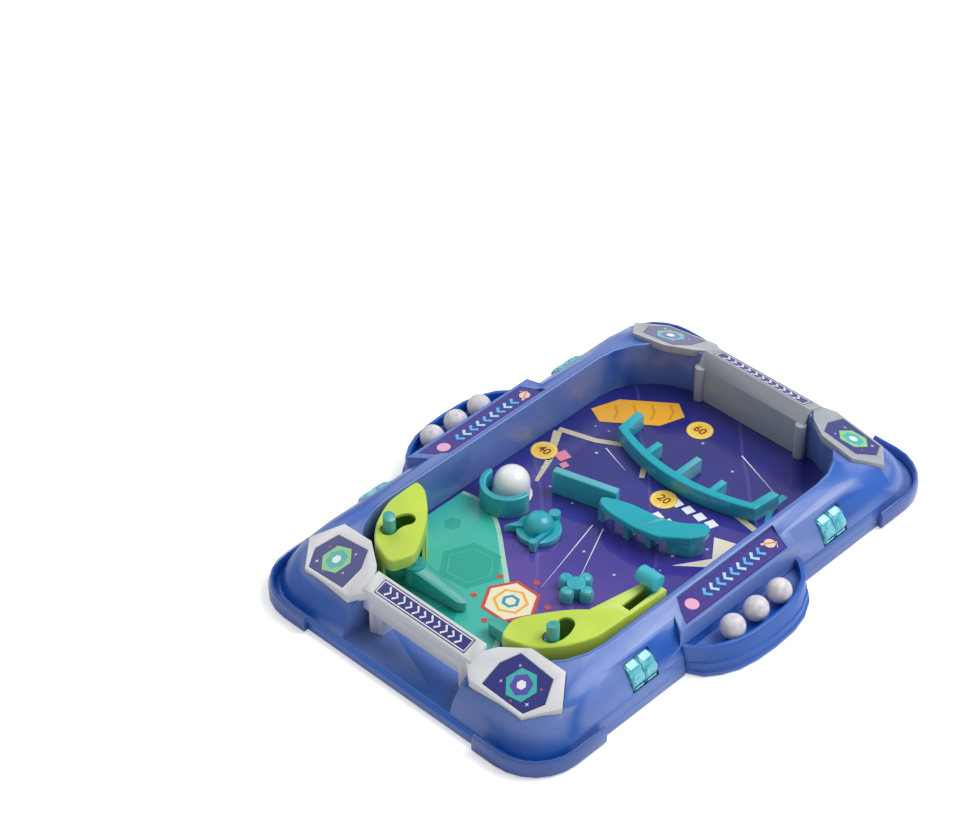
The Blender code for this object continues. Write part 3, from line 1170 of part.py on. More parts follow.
def build_materials():
    """Returns the materials by use."""
    return {
        "tray": plain_material("tray_blue_plastic", (0.03, 0.13, 0.47), 0.32),
        "bumper": plain_material("bumper_blue_plastic", (0.025, 0.14, 0.52), 0.18),
        "pan": plain_material("pan_dark_blue_plastic", (0.01, 0.03, 0.12), 0.5),
        "sheet": plain_material("printed_sheet", (0.07, 0.05, 0.26), 0.12),
        "bridge": plain_material("bridge_grey_plastic", (0.76, 0.78, 0.81), 0.35),
        "label": plain_material("printed_label", (0.04, 0.05, 0.25), 0.25),
        "cover": plain_material("cover_lime_plastic", (0.55, 0.76, 0.08), 0.3),
        "flipper": plain_material("flipper_teal_plastic", (0.01, 0.42, 0.36), 0.28),
        "teal": plain_material("teal_plastic", (0.01, 0.45, 0.5), 0.28),
        "wheel": plain_material("wheel_cyan_plastic", (0.2, 0.65, 0.78), 0.15),
        "dome": plain_material("dome_white_plastic", (0.9, 0.91, 0.92), 0.2),
        "ball": plain_material("ball_pearl", (0.7, 0.68, 0.72), 0.35),
        "steel": plain_material("steel", (0.6, 0.6, 0.62), 0.25, 1),
        "rubber": plain_material("foot_rubber", (0.02, 0.02, 0.02), 0.8),
    }


def build():
    """Builds every piece of the game."""
    clear_scene()
    materials = build_materials()
    build_top_frame(materials["tray"])
    build_floor(materials)
    for name, end in (("front", -1), ("rear", 1)):
        build_bridge(f"{name}_bridge", end, materials["bridge"])
        build_label(f"{name}_bar_label", bar_label_outline(end), bar_top, materials["label"])
        for side_name, side in (("left", -1), ("right", 1)):
            build_label(f"{name}_{side_name}_pad_label", pad_label_outline(side, end), pad_top,
                        materials["label"])
            build_bumper(f"corner_bumper_{name}_{side_name}", side, end, materials["bumper"])
    for side_name, side in (("left", -1), ("right", 1)):
        build_pocket(f"ball_pocket_{side_name}", side, materials["tray"])
        build_label(f"deck_label_{side_name}", field_points(DECK_LABEL_SHARES, side), platform_top,
                    materials["label"])
        build_cover(f"flipper_cover_{side_name}", side, materials["cover"])
        build_flipper(f"flipper_{side_name}", side, materials)
    build_balls(materials["ball"])
    build_counters(materials)
    build_plunger(materials)
    build_spring(materials["steel"])
    build_cup(materials["teal"])
    build_dome(materials["dome"])
    build_barrier(materials["teal"])
    build_rail(materials["teal"])
    build_comb(materials["teal"])
    build_planet(materials["teal"])
    build_star(materials["teal"])


build()
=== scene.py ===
import json
import math
import random

import bmesh
import bpy
from bpy.props import FloatProperty, FloatVectorProperty, IntProperty, PointerProperty
from mathutils import Matrix, Vector


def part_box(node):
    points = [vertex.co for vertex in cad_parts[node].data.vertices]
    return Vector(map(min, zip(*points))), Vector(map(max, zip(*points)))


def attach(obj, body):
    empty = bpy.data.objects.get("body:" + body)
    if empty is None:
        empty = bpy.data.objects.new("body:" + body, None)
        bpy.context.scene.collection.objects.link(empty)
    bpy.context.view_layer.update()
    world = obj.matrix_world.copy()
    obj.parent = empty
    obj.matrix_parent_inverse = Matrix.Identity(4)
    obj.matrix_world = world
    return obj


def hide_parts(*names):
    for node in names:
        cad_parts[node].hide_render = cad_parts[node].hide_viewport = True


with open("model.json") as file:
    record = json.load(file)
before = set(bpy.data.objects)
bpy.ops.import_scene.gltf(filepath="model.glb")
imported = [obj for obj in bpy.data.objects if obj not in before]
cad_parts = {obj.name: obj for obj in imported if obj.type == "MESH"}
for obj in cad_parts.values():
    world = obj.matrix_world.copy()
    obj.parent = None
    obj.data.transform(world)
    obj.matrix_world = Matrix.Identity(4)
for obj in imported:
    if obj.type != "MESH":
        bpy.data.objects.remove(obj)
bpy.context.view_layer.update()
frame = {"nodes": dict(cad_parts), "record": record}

bl_info = {
    "name": "Tabletop pinball game dressing",
    "version": (1, 0, 0),
    "blender": (4, 5, 0),
    "location": "3D View > Sidebar > Pinball",
    "description": "Dresses the packed pinball game with finishes, printed sheets and small details",
    "category": "Object",
}

MM = 0.001
WELD_DISTANCE = 0.00001
SHEET_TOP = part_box("playfield_sheet")[1][2]
PRINT_LIFT = 0.00006
PRINT_STEP = 0.00003

# Camera and light
CAMERA_PLACE = (0.8648, -1.0006, 1.1897)
CAMERA_AZIMUTH_DEG = 44.08
CAMERA_RISE_DEG = 39.47
CAMERA_LENS_MM = 106.7
CAMERA_SENSOR_MM = 36
SKY_LEVEL = 0.45
FLOOR_GLOW = 0.42
LAMPS = (("overhead", (0.55, 0.75, 1.4), 1.1, 21), ("left_fill", (-1.3, 0.2, 1.1), 1.2, 4))


# Colour and nodes

def linear(code):
    """Turns an sRGB hex colour into linear values with full alpha."""
    channels = [int(code[index:index + 2], 16) / 255 for index in (1, 3, 5)]
    return (*[value / 12.92 if value <= 0.04045 else ((value + 0.055) / 1.055) ** 2.4
              for value in channels], 1)


def add(tree, kind, links=None, **settings):
    """Adds a node; settings are its attributes or input values, links maps inputs to sockets."""
    node = tree.nodes.new(kind)
    for key, value in settings.items():
        if hasattr(node, key) and key not in node.inputs:
            setattr(node, key, value)
    for key, value in (links or {}).items():
        socket = node.inputs[key]
        if isinstance(value, bpy.types.NodeSocket):
            tree.links.new(value, socket)
        else:
            socket.default_value = value
    return node


def ramp(tree, factor, stops):
    """Adds a colour ramp with the given (place, colour) stops."""
    node = add(tree, "ShaderNodeValToRGB", {"Fac": factor})
    points = node.color_ramp.elements
    while len(points) < len(stops):
        points.new(0.5)
    for point, (place, colour) in zip(points, stops):
        point.position = place
        point.color = colour
    return node


def shade(code, factor):
    """Returns a linear colour made lighter or darker."""
    red, green, blue, alpha = linear(code)
    return (min(red * factor, 1), min(green * factor, 1), min(blue * factor, 1), alpha)


def new_material(name):
    """Returns an empty node material, its tree and its shader."""
    material = bpy.data.materials.new(name)
    material.use_nodes = True
    tree = material.node_tree
    return material, tree, tree.nodes["Principled BSDF"]


def moulded_plastic(name, code, roughness, grain_mm=0.35, bump=0.05, coat=0.0, spread=0.08, wear=0.12):
    """Injection-moulded ABS: a faint mottled tone, a fine tool texture and paler rubbed edges."""
    material, tree, shader = new_material(name)
    place = add(tree, "ShaderNodeTexCoord").outputs["Object"]
    tone = add(tree, "ShaderNodeTexNoise", {"Vector": place, "Scale": 1 / (38 * MM), "Detail": 3.0})
    body = ramp(tree, tone.outputs["Fac"], [(0.35, shade(code, 1 - spread)),
                                            (0.65, shade(code, 1 + spread))])
    edge = add(tree, "ShaderNodeNewGeometry").outputs["Pointiness"]
    rub = ramp(tree, edge, [(0.52, (0, 0, 0, 1)), (0.60, (wear, wear, wear, 1))])
    mixed = add(tree, "ShaderNodeMix", data_type='RGBA')
    tree.links.new(rub.outputs["Color"], mixed.inputs[0])
    tree.links.new(body.outputs["Color"], mixed.inputs[6])
    mixed.inputs[7].default_value = (1, 1, 1, 1)
    tree.links.new(mixed.outputs[2], shader.inputs["Base Color"])
    smear = add(tree, "ShaderNodeTexNoise", {"Vector": place, "Scale": 1 / (11 * MM), "Detail": 4.0})
    gloss = add(tree, "ShaderNodeMapRange", {
        "Value": smear.outputs["Fac"], "From Min": 0.3, "From Max": 0.7,
        "To Min": roughness - 0.04, "To Max": roughness + 0.05})
    tree.links.new(gloss.outputs["Result"], shader.inputs["Roughness"])
    grain = add(tree, "ShaderNodeTexNoise", {"Vector": place, "Scale": 1 / (grain_mm * MM), "Detail": 2.0})
    relief = add(tree, "ShaderNodeBump", {"Height": grain.outputs["Fac"], "Strength": bump,
                                          "Distance": 0.00008})
    tree.links.new(relief.outputs["Normal"], shader.inputs["Normal"])
    shader.inputs["IOR"].default_value = 1.53
    shader.inputs["Coat Weight"].default_value = coat
    shader.inputs["Coat Roughness"].default_value = 0.08
    return material


def printed_film(name, code, roughness=0.22, spread=0.05):
    """Offset print under a gloss film: a flat ink with a trace of dot grain and a clear coat."""
    material, tree, shader = new_material(name)
    place = add(tree, "ShaderNodeTexCoord").outputs["Object"]
    dots = add(tree, "ShaderNodeTexNoise", {"Vector": place, "Scale": 1 / (0.6 * MM), "Detail": 1.0})
    ink = ramp(tree, dots.outputs["Fac"], [(0.4, shade(code, 1 - spread)), (0.6, shade(code, 1 + spread))])
    tree.links.new(ink.outputs["Color"], shader.inputs["Base Color"])
    shader.inputs["Roughness"].default_value = roughness
    shader.inputs["Coat Weight"].default_value = 0.5
    shader.inputs["Coat Roughness"].default_value = 0.06
    return material


def field_film(name):
    """The play field's film: navy at the rear and left runs into violet, with faint diagonal lines."""
    material, tree, shader = new_material(name)
    place = add(tree, "ShaderNodeTexCoord").outputs["Object"]
    parts = add(tree, "ShaderNodeSeparateXYZ", {"Vector": place})
    reach = add(tree, "ShaderNodeMapRange", {
        "Value": parts.outputs["Y"], "From Min": -100 * MM, "From Max": 100 * MM})
    side = add(tree, "ShaderNodeMapRange", {
        "Value": parts.outputs["X"], "From Min": -90 * MM, "From Max": 90 * MM,
        "To Min": 0.25, "To Max": -0.15})
    total = add(tree, "ShaderNodeMath", {0: reach.outputs["Result"], 1: side.outputs["Result"]})
    cloud = add(tree, "ShaderNodeTexNoise", {"Vector": place, "Scale": 1 / (45 * MM), "Detail": 3.0})
    drift = add(tree, "ShaderNodeMath", {0: cloud.outputs["Fac"], 1: -0.5})
    mixed = add(tree, "ShaderNodeMath", {0: total.outputs[0], 1: drift.outputs[0]})
    ground = ramp(tree, mixed.outputs[0], [(0.15, linear("#5a42a0")), (0.45, linear("#43389a")),
                                           (0.75, linear("#2e2f8c")), (1.0, linear("#29297c"))])
    lines = add(tree, "ShaderNodeTexWave", {"Vector": place, "Scale": 1 / (150 * MM), "Distortion": 1.5},
                bands_direction='DIAGONAL')
    streak = ramp(tree, lines.outputs["Fac"], [(0.9985, (0, 0, 0, 1)), (1.0, (0.15, 0.15, 0.15, 1))])
    blend = add(tree, "ShaderNodeMix", data_type='RGBA')
    tree.links.new(streak.outputs["Color"], blend.inputs[0])
    tree.links.new(ground.outputs["Color"], blend.inputs[6])
    blend.inputs[7].default_value = linear("#8f86d8")
    tree.links.new(blend.outputs[2], shader.inputs["Base Color"])
    shader.inputs["Roughness"].default_value = 0.16
    shader.inputs["Coat Weight"].default_value = 0.8
    shader.inputs["Coat Roughness"].default_value = 0.03
    return material


def clear_cyan(name):
    """Translucent polystyrene of the score wheels: light passes a little, and the cyan varies at random
    from deep to pale.
    """
    material, tree, shader = new_material(name)
    place = add(tree, "ShaderNodeTexCoord").outputs["Object"]
    depth = add(tree, "ShaderNodeTexNoise", {"Vector": place, "Scale": 1 / (5 * MM), "Detail": 2.0})
    tint = ramp(tree, depth.outputs["Fac"], [(0.3, linear("#3fb9d2")), (0.7, linear("#8ee6f2"))])
    tree.links.new(tint.outputs["Color"], shader.inputs["Base Color"])
    shader.inputs["Roughness"].default_value = 0.14
    shader.inputs["Transmission Weight"].default_value = 0.15
    shader.inputs["IOR"].default_value = 1.59
    shader.inputs["Coat Weight"].default_value = 0.4
    return material


def pearl(name):
    """Cast resin of the balls: pale grey with a soft mottled sheen."""
    material, tree, shader = new_material(name)
    place = add(tree, "ShaderNodeTexCoord").outputs["Object"]
    swirl = add(tree, "ShaderNodeTexNoise", {"Vector": place, "Scale": 1 / (4 * MM), "Detail": 5.0,
                                             "Distortion": 0.8})
    tone = ramp(tree, swirl.outputs["Fac"], [(0.3, linear("#c4bfc8")), (0.7, linear("#e9e6ea"))])
    tree.links.new(tone.outputs["Color"], shader.inputs["Base Color"])
    relief = add(tree, "ShaderNodeBump", {"Height": swirl.outputs["Fac"], "Strength": 0.15,
                                          "Distance": 0.0002})
    tree.links.new(relief.outputs["Normal"], shader.inputs["Normal"])
    shader.inputs["Roughness"].default_value = 0.42
    return material


def zinc_steel(name):
    """Zinc-plated steel of screws, pins and spring: bright with fine drawn scratches."""
    material, tree, shader = new_material(name)
    place = add(tree, "ShaderNodeTexCoord").outputs["Object"]
    drawn = add(tree, "ShaderNodeTexNoise", {"Vector": place, "Scale": 1 / (0.5 * MM), "Detail": 3.0})
    tone = ramp(tree, drawn.outputs["Fac"], [(0.3, linear("#a9acb0")), (0.7, linear("#cfd1d4"))])
    tree.links.new(tone.outputs["Color"], shader.inputs["Base Color"])
    shader.inputs["Metallic"].default_value = 1
    shader.inputs["Roughness"].default_value = 0.3
    return material


# Mesh helpers

def apply_modifiers(thing):
    """Turns an object with modifiers into a plain mesh."""
    graph = bpy.context.evaluated_depsgraph_get()
    mesh = bpy.data.meshes.new_from_object(thing.evaluated_get(graph))
    thing.modifiers.clear()
    thing.data = mesh
    return thing


def finish_piece(thing, material, body):
    """Gives a piece its material and its body."""
    if material is not None:
        thing.data.materials.clear()
        thing.data.materials.append(material)
    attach(thing, body)
    return thing


def body_of_node(node):
    """Returns the CAD body that holds a node."""
    for name, nodes in frame["record"]["behaviour"]["bodies"].items():
        if node in nodes:
            return name
    raise KeyError(node)


def dress(node, material, edge, smooth_deg=32):
    """Makes a finished copy of a CAD solid with softened edges and smooth shading."""
    source = frame["nodes"][node]
    mesh = source.data.copy()
    thing = bpy.data.objects.new(f"{node}_moulding", mesh)
    bpy.context.scene.collection.objects.link(thing)
    thing.matrix_world = Matrix.Identity(4)
    bm = bmesh.new()
    bm.from_mesh(mesh)
    bmesh.ops.remove_doubles(bm, verts=bm.verts, dist=WELD_DISTANCE)
    bmesh.ops.dissolve_limit(bm, angle_limit=math.radians(0.6), verts=bm.verts, edges=bm.edges)
    bm.to_mesh(mesh)
    bm.free()
    if edge:
        bevel = thing.modifiers.new("Softened edges", 'BEVEL')
        bevel.width = edge
        bevel.segments = 2
        bevel.limit_method = 'ANGLE'
        bevel.angle_limit = math.radians(smooth_deg)
        bevel.use_clamp_overlap = True
        apply_modifiers(thing)
    thing.data.shade_smooth()
    thing.data.set_sharp_from_angle(angle=math.radians(smooth_deg))
    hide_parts(node)
    return finish_piece(thing, material, body_of_node(node))


def mesh_piece(name, bm, materials, body, smooth_deg=32):
    """Turns a bmesh into a piece with several materials."""
    mesh = bpy.data.meshes.new(name)
    bm.to_mesh(mesh)
    bm.free()
    for material in materials:
        mesh.materials.append(material)
    mesh.shade_smooth()
    mesh.set_sharp_from_angle(angle=math.radians(smooth_deg))
    thing = bpy.data.objects.new(name, mesh)
    bpy.context.scene.collection.objects.link(thing)
    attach(thing, body)
    return thing


# Flat print shapes, as outlines in metres

def disc(x, y, radius, steps=40):
    """Outline of a disc."""
    return polygon(x, y, radius, steps)


def polygon(x, y, radius, corners, turn=0):
    """Outline of a regular polygon."""
    return [(x + radius * math.cos(math.tau * step / corners + turn),
             y + radius * math.sin(math.tau * step / corners + turn)) for step in range(corners)]


def spark(x, y, radius, waist=0.22):
    """Outline of a four-pointed spark."""
    points = []
    for step in range(8):
        reach = radius if step % 2 == 0 else radius * waist
        angle = math.tau * step / 8
        points.append((x + reach * math.cos(angle), y + reach * math.sin(angle)))
    return points


def band(points, width, taper=0.0):
    """Outline of a ribbon along points; taper narrows it towards its end."""
    left = []
    right = []
    count = len(points)
    for index, point in enumerate(points):
        before = Vector(points[max(index - 1, 0)])
        after = Vector(points[min(index + 1, count - 1)])
        along = (after - before).normalized()
        half = width / 2 * (1 - taper * index / (count - 1))
        across = Vector((-along.y, along.x)) * half
        left.append(tuple(Vector(point) + across))
        right.append(tuple(Vector(point) - across))
    return left, right


def arc(x, y, radius, start_deg, stop_deg, steps=32):
    """Points along an arc."""
    return [(x + radius * math.cos(math.radians(start_deg + (stop_deg - start_deg) * step / steps)),
             y + radius * math.sin(math.radians(start_deg + (stop_deg - start_deg) * step / steps)))
            for step in range(steps + 1)]


class Print:
    """Collects flat shapes for one printed surface."""

    def __init__(self, surface):
        self.bm = bmesh.new()
        self.surface = surface
        self.level = 0

    def lift(self, x, y):
        """Point on the printed surface at the current ink layer."""
        return (x, y, self.surface(x, y) + PRINT_LIFT + PRINT_STEP * self.level)

    def fill(self, points, ink):
        """Adds one filled outline."""
        area = sum(ax * by - bx * ay for (ax, ay), (bx, by) in zip(points, points[1:] + points[:1]))
        if area < 0:
            points = points[::-1]
        face = self.bm.faces.new([self.bm.verts.new(self.lift(x, y)) for x, y in points])
        face.material_index = ink

    def ribbon(self, points, width, ink, taper=0.0):
        """Adds a ribbon as a strip of quads."""
        left, right = band(points, width, taper)
        rows = [[self.bm.verts.new(self.lift(*spot)) for spot in row] for row in (left, right)]
        for index in range(len(left) - 1):
            face = self.bm.faces.new((rows[1][index], rows[1][index + 1],
                                      rows[0][index + 1], rows[0][index]))
            face.material_index = ink

    def number(self, words, x, y, height, ink):
        """Adds plain figures as flat faces."""
        curve = bpy.data.curves.new("figures", 'FONT')
        curve.body = words
        curve.size = height
        curve.align_x = 'CENTER'
        curve.align_y = 'CENTER'
        curve.offset = height / 40
        curve.resolution_u = 4
        thing = bpy.data.objects.new("figures", curve)
        bpy.context.scene.collection.objects.link(thing)
        graph = bpy.context.evaluated_depsgraph_get()
        mesh = bpy.data.meshes.new_from_object(thing.evaluated_get(graph))
        base = len(self.bm.verts)
        self.bm.from_mesh(mesh)
        self.bm.verts.ensure_lookup_table()
        for vert in self.bm.verts[base:]:
            vert.co = self.lift(x + vert.co.x, y + vert.co.y)
            for face in vert.link_faces:
                face.material_index = ink
        bpy.data.objects.remove(thing, do_unlink=True)
        bpy.data.curves.remove(curve)
        bpy.data.meshes.remove(mesh)

    def done(self, name, inks, body):
        """Closes the print into a piece."""
        return mesh_piece(name, self.bm, inks, body)


# Surfaces of the tilted labels, as in the solids

LABEL_SINK = 0.1 * MM
PAD_TOP, PAD_PLACE_X, PAD_PLACE_Y = 35.2 * MM, 70 * MM, 150 * MM
PAD_FALL_X, PAD_FALL_Y = 0.138, 0.364
BAR_TOP, BAR_INNER_Y, BAR_DEPTH, BAR_DROP = 41.2 * MM, 148.0 * MM, 13.2 * MM, 5.0 * MM
DECK_TOP, DECK_INNER_X, DECK_FALL = 35.2 * MM, 92.5 * MM, 0.11


def pad_plane(x, y):
    """Top of the pad labels."""
    return PAD_TOP - PAD_FALL_Y * (abs(y) - PAD_PLACE_Y) - PAD_FALL_X * (abs(x) - PAD_PLACE_X) - LABEL_SINK


def bar_plane(x, y):
    """Top of the bar labels."""
    return BAR_TOP - BAR_DROP * (abs(y) - BAR_INNER_Y) / BAR_DEPTH - LABEL_SINK


def deck_plane(x, y):
    """Top of the deck labels."""
    return DECK_TOP - DECK_FALL * (abs(x) - DECK_INNER_X) - LABEL_SINK


def field_plane(x, y):
    """Top of the play field sheet."""
    return SHEET_TOP


def mm(points):
    """Turns outline points from millimetres into metres."""
    return [(x * MM, y * MM) for x, y in points]


# Geometry Nodes

def node_group(name, inputs):
    """Returns a geometry node group with named inputs given as (name, type, default)."""
    group = bpy.data.node_groups.new(name, 'GeometryNodeTree')
    group.interface.new_socket("Geometry", in_out='INPUT', socket_type='NodeSocketGeometry')
    for label, kind, value in inputs:
        socket = group.interface.new_socket(label, in_out='INPUT', socket_type=kind)
        if value is not None:
            socket.default_value = value
    group.interface.new_socket("Geometry", in_out='OUTPUT', socket_type='NodeSocketGeometry')
    return group, group.nodes.new("NodeGroupInput"), group.nodes.new("NodeGroupOutput")


def run_nodes(thing, group, values):
    """Runs a node group on an object with values by input name and keeps the plain mesh."""
    modifier = thing.modifiers.new(group.name, 'NODES')
    modifier.node_group = group
    for item in group.interface.items_tree:
        if item.item_type == 'SOCKET' and item.in_out == 'INPUT' and item.name in values:
            modifier[item.identifier] = values[item.name]
    return apply_modifiers(thing)


def wheel_cell_nodes():
    """Raised cells spaced evenly round a score wheel."""
    group, given, result = node_group("Wheel cells", [
        ("Cells", 'NodeSocketInt', 8), ("Radius", 'NodeSocketFloat', 0.0112),
        ("Width", 'NodeSocketFloat', 0.008), ("Height", 'NodeSocketFloat', 0.0055),
        ("Depth", 'NodeSocketFloat', 0.0009), ("Finish", 'NodeSocketMaterial', None)])
    ring = add(group, "GeometryNodeMeshCircle", {"Vertices": given.outputs["Cells"],
                                                 "Radius": given.outputs["Radius"]})
    size = add(group, "ShaderNodeCombineXYZ", {"X": given.outputs["Depth"], "Y": given.outputs["Height"],
                                               "Z": given.outputs["Width"]})
    cell = add(group, "GeometryNodeMeshCube", {"Size": size.outputs[0]})
    where = add(group, "GeometryNodeInputPosition")
    facing = add(group, "FunctionNodeAlignRotationToVector", {"Vector": where.outputs[0]}, axis='X')
    cells = add(group, "GeometryNodeInstanceOnPoints", {
        "Points": ring.outputs["Mesh"], "Instance": cell.outputs["Mesh"],
        "Rotation": facing.outputs[0]})
    real = add(group, "GeometryNodeRealizeInstances", {"Geometry": cells.outputs[0]})
    finish = add(group, "GeometryNodeSetMaterial", {"Geometry": real.outputs[0],
                                                    "Material": given.outputs["Finish"]})
    group.links.new(finish.outputs[0], result.inputs[0])
    return group


def spark_nodes():
    """Four-pointed sparks of random size on the given points."""
    group, given, result = node_group("Printed sparks", [
        ("Size", 'NodeSocketFloat', 0.002), ("Slimness", 'NodeSocketFloat', 0.2),
        ("Seed", 'NodeSocketInt', 5), ("Finish", 'NodeSocketMaterial', None)])
    ray = add(group, "GeometryNodeMeshCircle", {"Vertices": 4, "Radius": given.outputs["Size"]},
              fill_type='NGON')
    slim = add(group, "ShaderNodeCombineXYZ", {"X": 1.0, "Y": given.outputs["Slimness"], "Z": 1.0})
    long_ray = add(group, "GeometryNodeTransform", {"Geometry": ray.outputs["Mesh"],
                                                    "Scale": slim.outputs[0]})
    cross_ray = add(group, "GeometryNodeTransform", {
        "Geometry": long_ray.outputs[0], "Rotation": (0, 0, math.radians(90)),
        "Translation": (0, 0, PRINT_STEP)})
    both = group.nodes.new("GeometryNodeJoinGeometry")
    group.links.new(long_ray.outputs[0], both.inputs[0])
    group.links.new(cross_ray.outputs[0], both.inputs[0])
    size = add(group, "FunctionNodeRandomValue", {"Seed": given.outputs["Seed"]}, data_type='FLOAT')
    size.inputs[2].default_value = 0.35
    size.inputs[3].default_value = 1.0
    sparks = add(group, "GeometryNodeInstanceOnPoints", {
        "Points": given.outputs["Geometry"], "Instance": both.outputs[0], "Scale": size.outputs[1]})
    real = add(group, "GeometryNodeRealizeInstances", {"Geometry": sparks.outputs[0]})
    finish = add(group, "GeometryNodeSetMaterial", {"Geometry": real.outputs[0],
                                                    "Material": given.outputs["Finish"]})
    group.links.new(finish.outputs[0], result.inputs[0])
    return group


# Settings

class PinballColours(bpy.types.PropertyGroup):
    """Main plastic colours, as linear values."""

    tray: FloatVectorProperty(name="Tray", description="Blue of the tray", subtype='COLOR', size=3,
                              default=linear("#0d58b8")[:3])
    teal: FloatVectorProperty(name="Teal", description="Teal of the play field pieces", subtype='COLOR',
                              size=3, default=linear("#05a7b8")[:3])
    lime: FloatVectorProperty(name="Lime", description="Lime of the flipper covers", subtype='COLOR',
                              size=3, default=linear("#c3de4b")[:3])


class PinballSizes(bpy.types.PropertyGroup):
    """Small sizes of the finish."""

    edge: FloatProperty(name="Moulded edge", description="Radius of the softened edges", unit='LENGTH',
                        default=0.0005, min=0.0)
    cells: IntProperty(name="Wheel cells", description="Raised cells on each score wheel", default=8, min=3)
    sparks: IntProperty(name="Sparks", description="Printed sparks on the play field", default=34, min=0)


def hex_of(colour):
    """Turns a linear colour setting into the sRGB hex that the finishes take."""
    codes = []
    for value in colour:
        value = value * 12.92 if value <= 0.0031308 else 1.055 * value ** (1 / 2.4) - 0.055
        codes.append(f"{round(min(max(value, 0), 1) * 255):02x}")
    return "#" + "".join(codes)


class PINBALL_OT_tray(bpy.types.Operator):
    """Dress the tray shell, the ball pockets, the corner bumpers and the floor"""

    bl_idname = "pinball.tray"
    bl_label = "Tray"

    def execute(self, context):
        edge = context.scene.pinball_sizes.edge
        tray_code = hex_of(context.scene.pinball_colours.tray)
        blue = moulded_plastic("satin_blue_abs", tray_code, 0.34, coat=0.25)
        glossy = moulded_plastic("glossy_blue_abs", "#0f4ea8", 0.16, grain_mm=0.8, bump=0.03, coat=0.5)
        # The base pan's dark navy is painted shade: it darkens the trough floor in the recess before the
        # front bridge.
        floor = moulded_plastic("matt_navy_painted_recess_shade", "#16306e", 0.5)
        rubber = moulded_plastic("black_rubber", "#1b1b1e", 0.75, bump=0.12)
        dress("top_frame", blue, edge)
        for side in ("left", "right"):
            dress(f"ball_pocket_{side}", blue, edge)
            for end in ("front", "rear"):
                dress(f"corner_bumper_{end}_{side}", glossy, edge * 1.4)
        # The pan takes the navy of painted recess shade.
        dress("base_pan", floor, 0)
        for index in range(1, 5):
            dress(f"foot_{index}", rubber, edge)
        return {'FINISHED'}


class PINBALL_OT_bridges(bpy.types.Operator):
    """Dress the front and rear bridges and print their labels"""

    bl_idname = "pinball.bridges"
    bl_label = "Bridges"

    def execute(self, context):
        grey = moulded_plastic("light_grey_abs", "#dfe1e6", 0.34, spread=0.03, wear=0.25)
        # The rear bridge is the same light grey plastic as the front one; its darker grey is painted shade
        # of its face towards the player.
        painted_shade_grey = moulded_plastic("light_grey_abs_painted_shade", "#9ea2ab", 0.3, spread=0.03, wear=0.2)
        navy = printed_film("navy_label_print", "#2b3080")
        inks = [printed_film("white_ink", "#f0f2fa"), printed_film("teal_label_ink", "#3fb8b0"),
                printed_film("green_label_ink", "#8fce8c"), printed_film("orange_label_ink", "#ee9a4a"),
                printed_film("violet_label_ink", "#5a4fae")]
        for end_name, end in (("front", -1), ("rear", 1)):
            # The front bridge takes the plain light grey, the rear one the darker grey of painted shade.
            dress(f"{end_name}_bridge", grey if end < 0 else painted_shade_grey, context.scene.pinball_sizes.edge * 1.6)
            dress(f"{end_name}_bar_label", navy, 0)
            self.print_bar(end_name, end, inks)
            for side_name, side in (("left", -1), ("right", 1)):
                dress(f"{end_name}_{side_name}_pad_label", navy, 0)
                self.print_pad(f"{end_name}_{side_name}", side, end, inks)
        return {'FINISHED'}

    def print_bar(self, end_name, end, inks):
        """White border and a row of chevrons on a bar's label."""
        sheet = Print(bar_plane)
        inner, outer = end * 150.6, end * 158.6
        border = mm([(-36.3, inner), (36.3, inner), (36.3, outer), (-36.3, outer), (-36.3, inner)])
        for start, stop in zip(border, border[1:]):
            sheet.ribbon([start, stop], 0.7 * MM, 0)
        middle = (inner + outer) / 2
        for index in range(11):
            x = -29 + index * 5.8
            tall = 2.3 if index % 2 else 2.9
            chevron = mm([(x - 1.6, middle + tall), (x + 1.1, middle), (x - 1.6, middle - tall)])
            sheet.ribbon(chevron, 1.35 * MM, 0)
        sheet.done(f"{end_name}_bar_print", inks, "tray")

    def print_pad(self, name, side, end, inks):
        """A faceted gem and small sparks on a pad's label."""
        sheet = Print(pad_plane)
        x, y = side * 76.5, end * 152.5
        first, second = (2, 1) if name in ("front_left", "rear_right") else (1, 4)
        sheet.fill(mm(polygon(x, y, 10.2, 6, math.radians(12))), first)
        sheet.level = 1
        sheet.fill(mm(polygon(x, y, 7.0, 6, math.radians(42))), second)
        sheet.level = 2
        sheet.fill(mm(polygon(x, y, 3.0, 6, math.radians(12))), 0)
        sheet.level = 0
        for dx, dy, size, ink in ((-11, 5.5, 1.3, 0), (10.5, 6.5, 1.7, 0), (11.0, -5.0, 1.1, 3),
                                  (-8.5, -8.0, 1.2, 0), (1.5, 10.6, 1.0, 3)):
            sheet.fill(mm(spark(x + side * dx, y + end * dy, size)), ink)
        sheet.done(f"{name}_pad_print", inks, "tray")


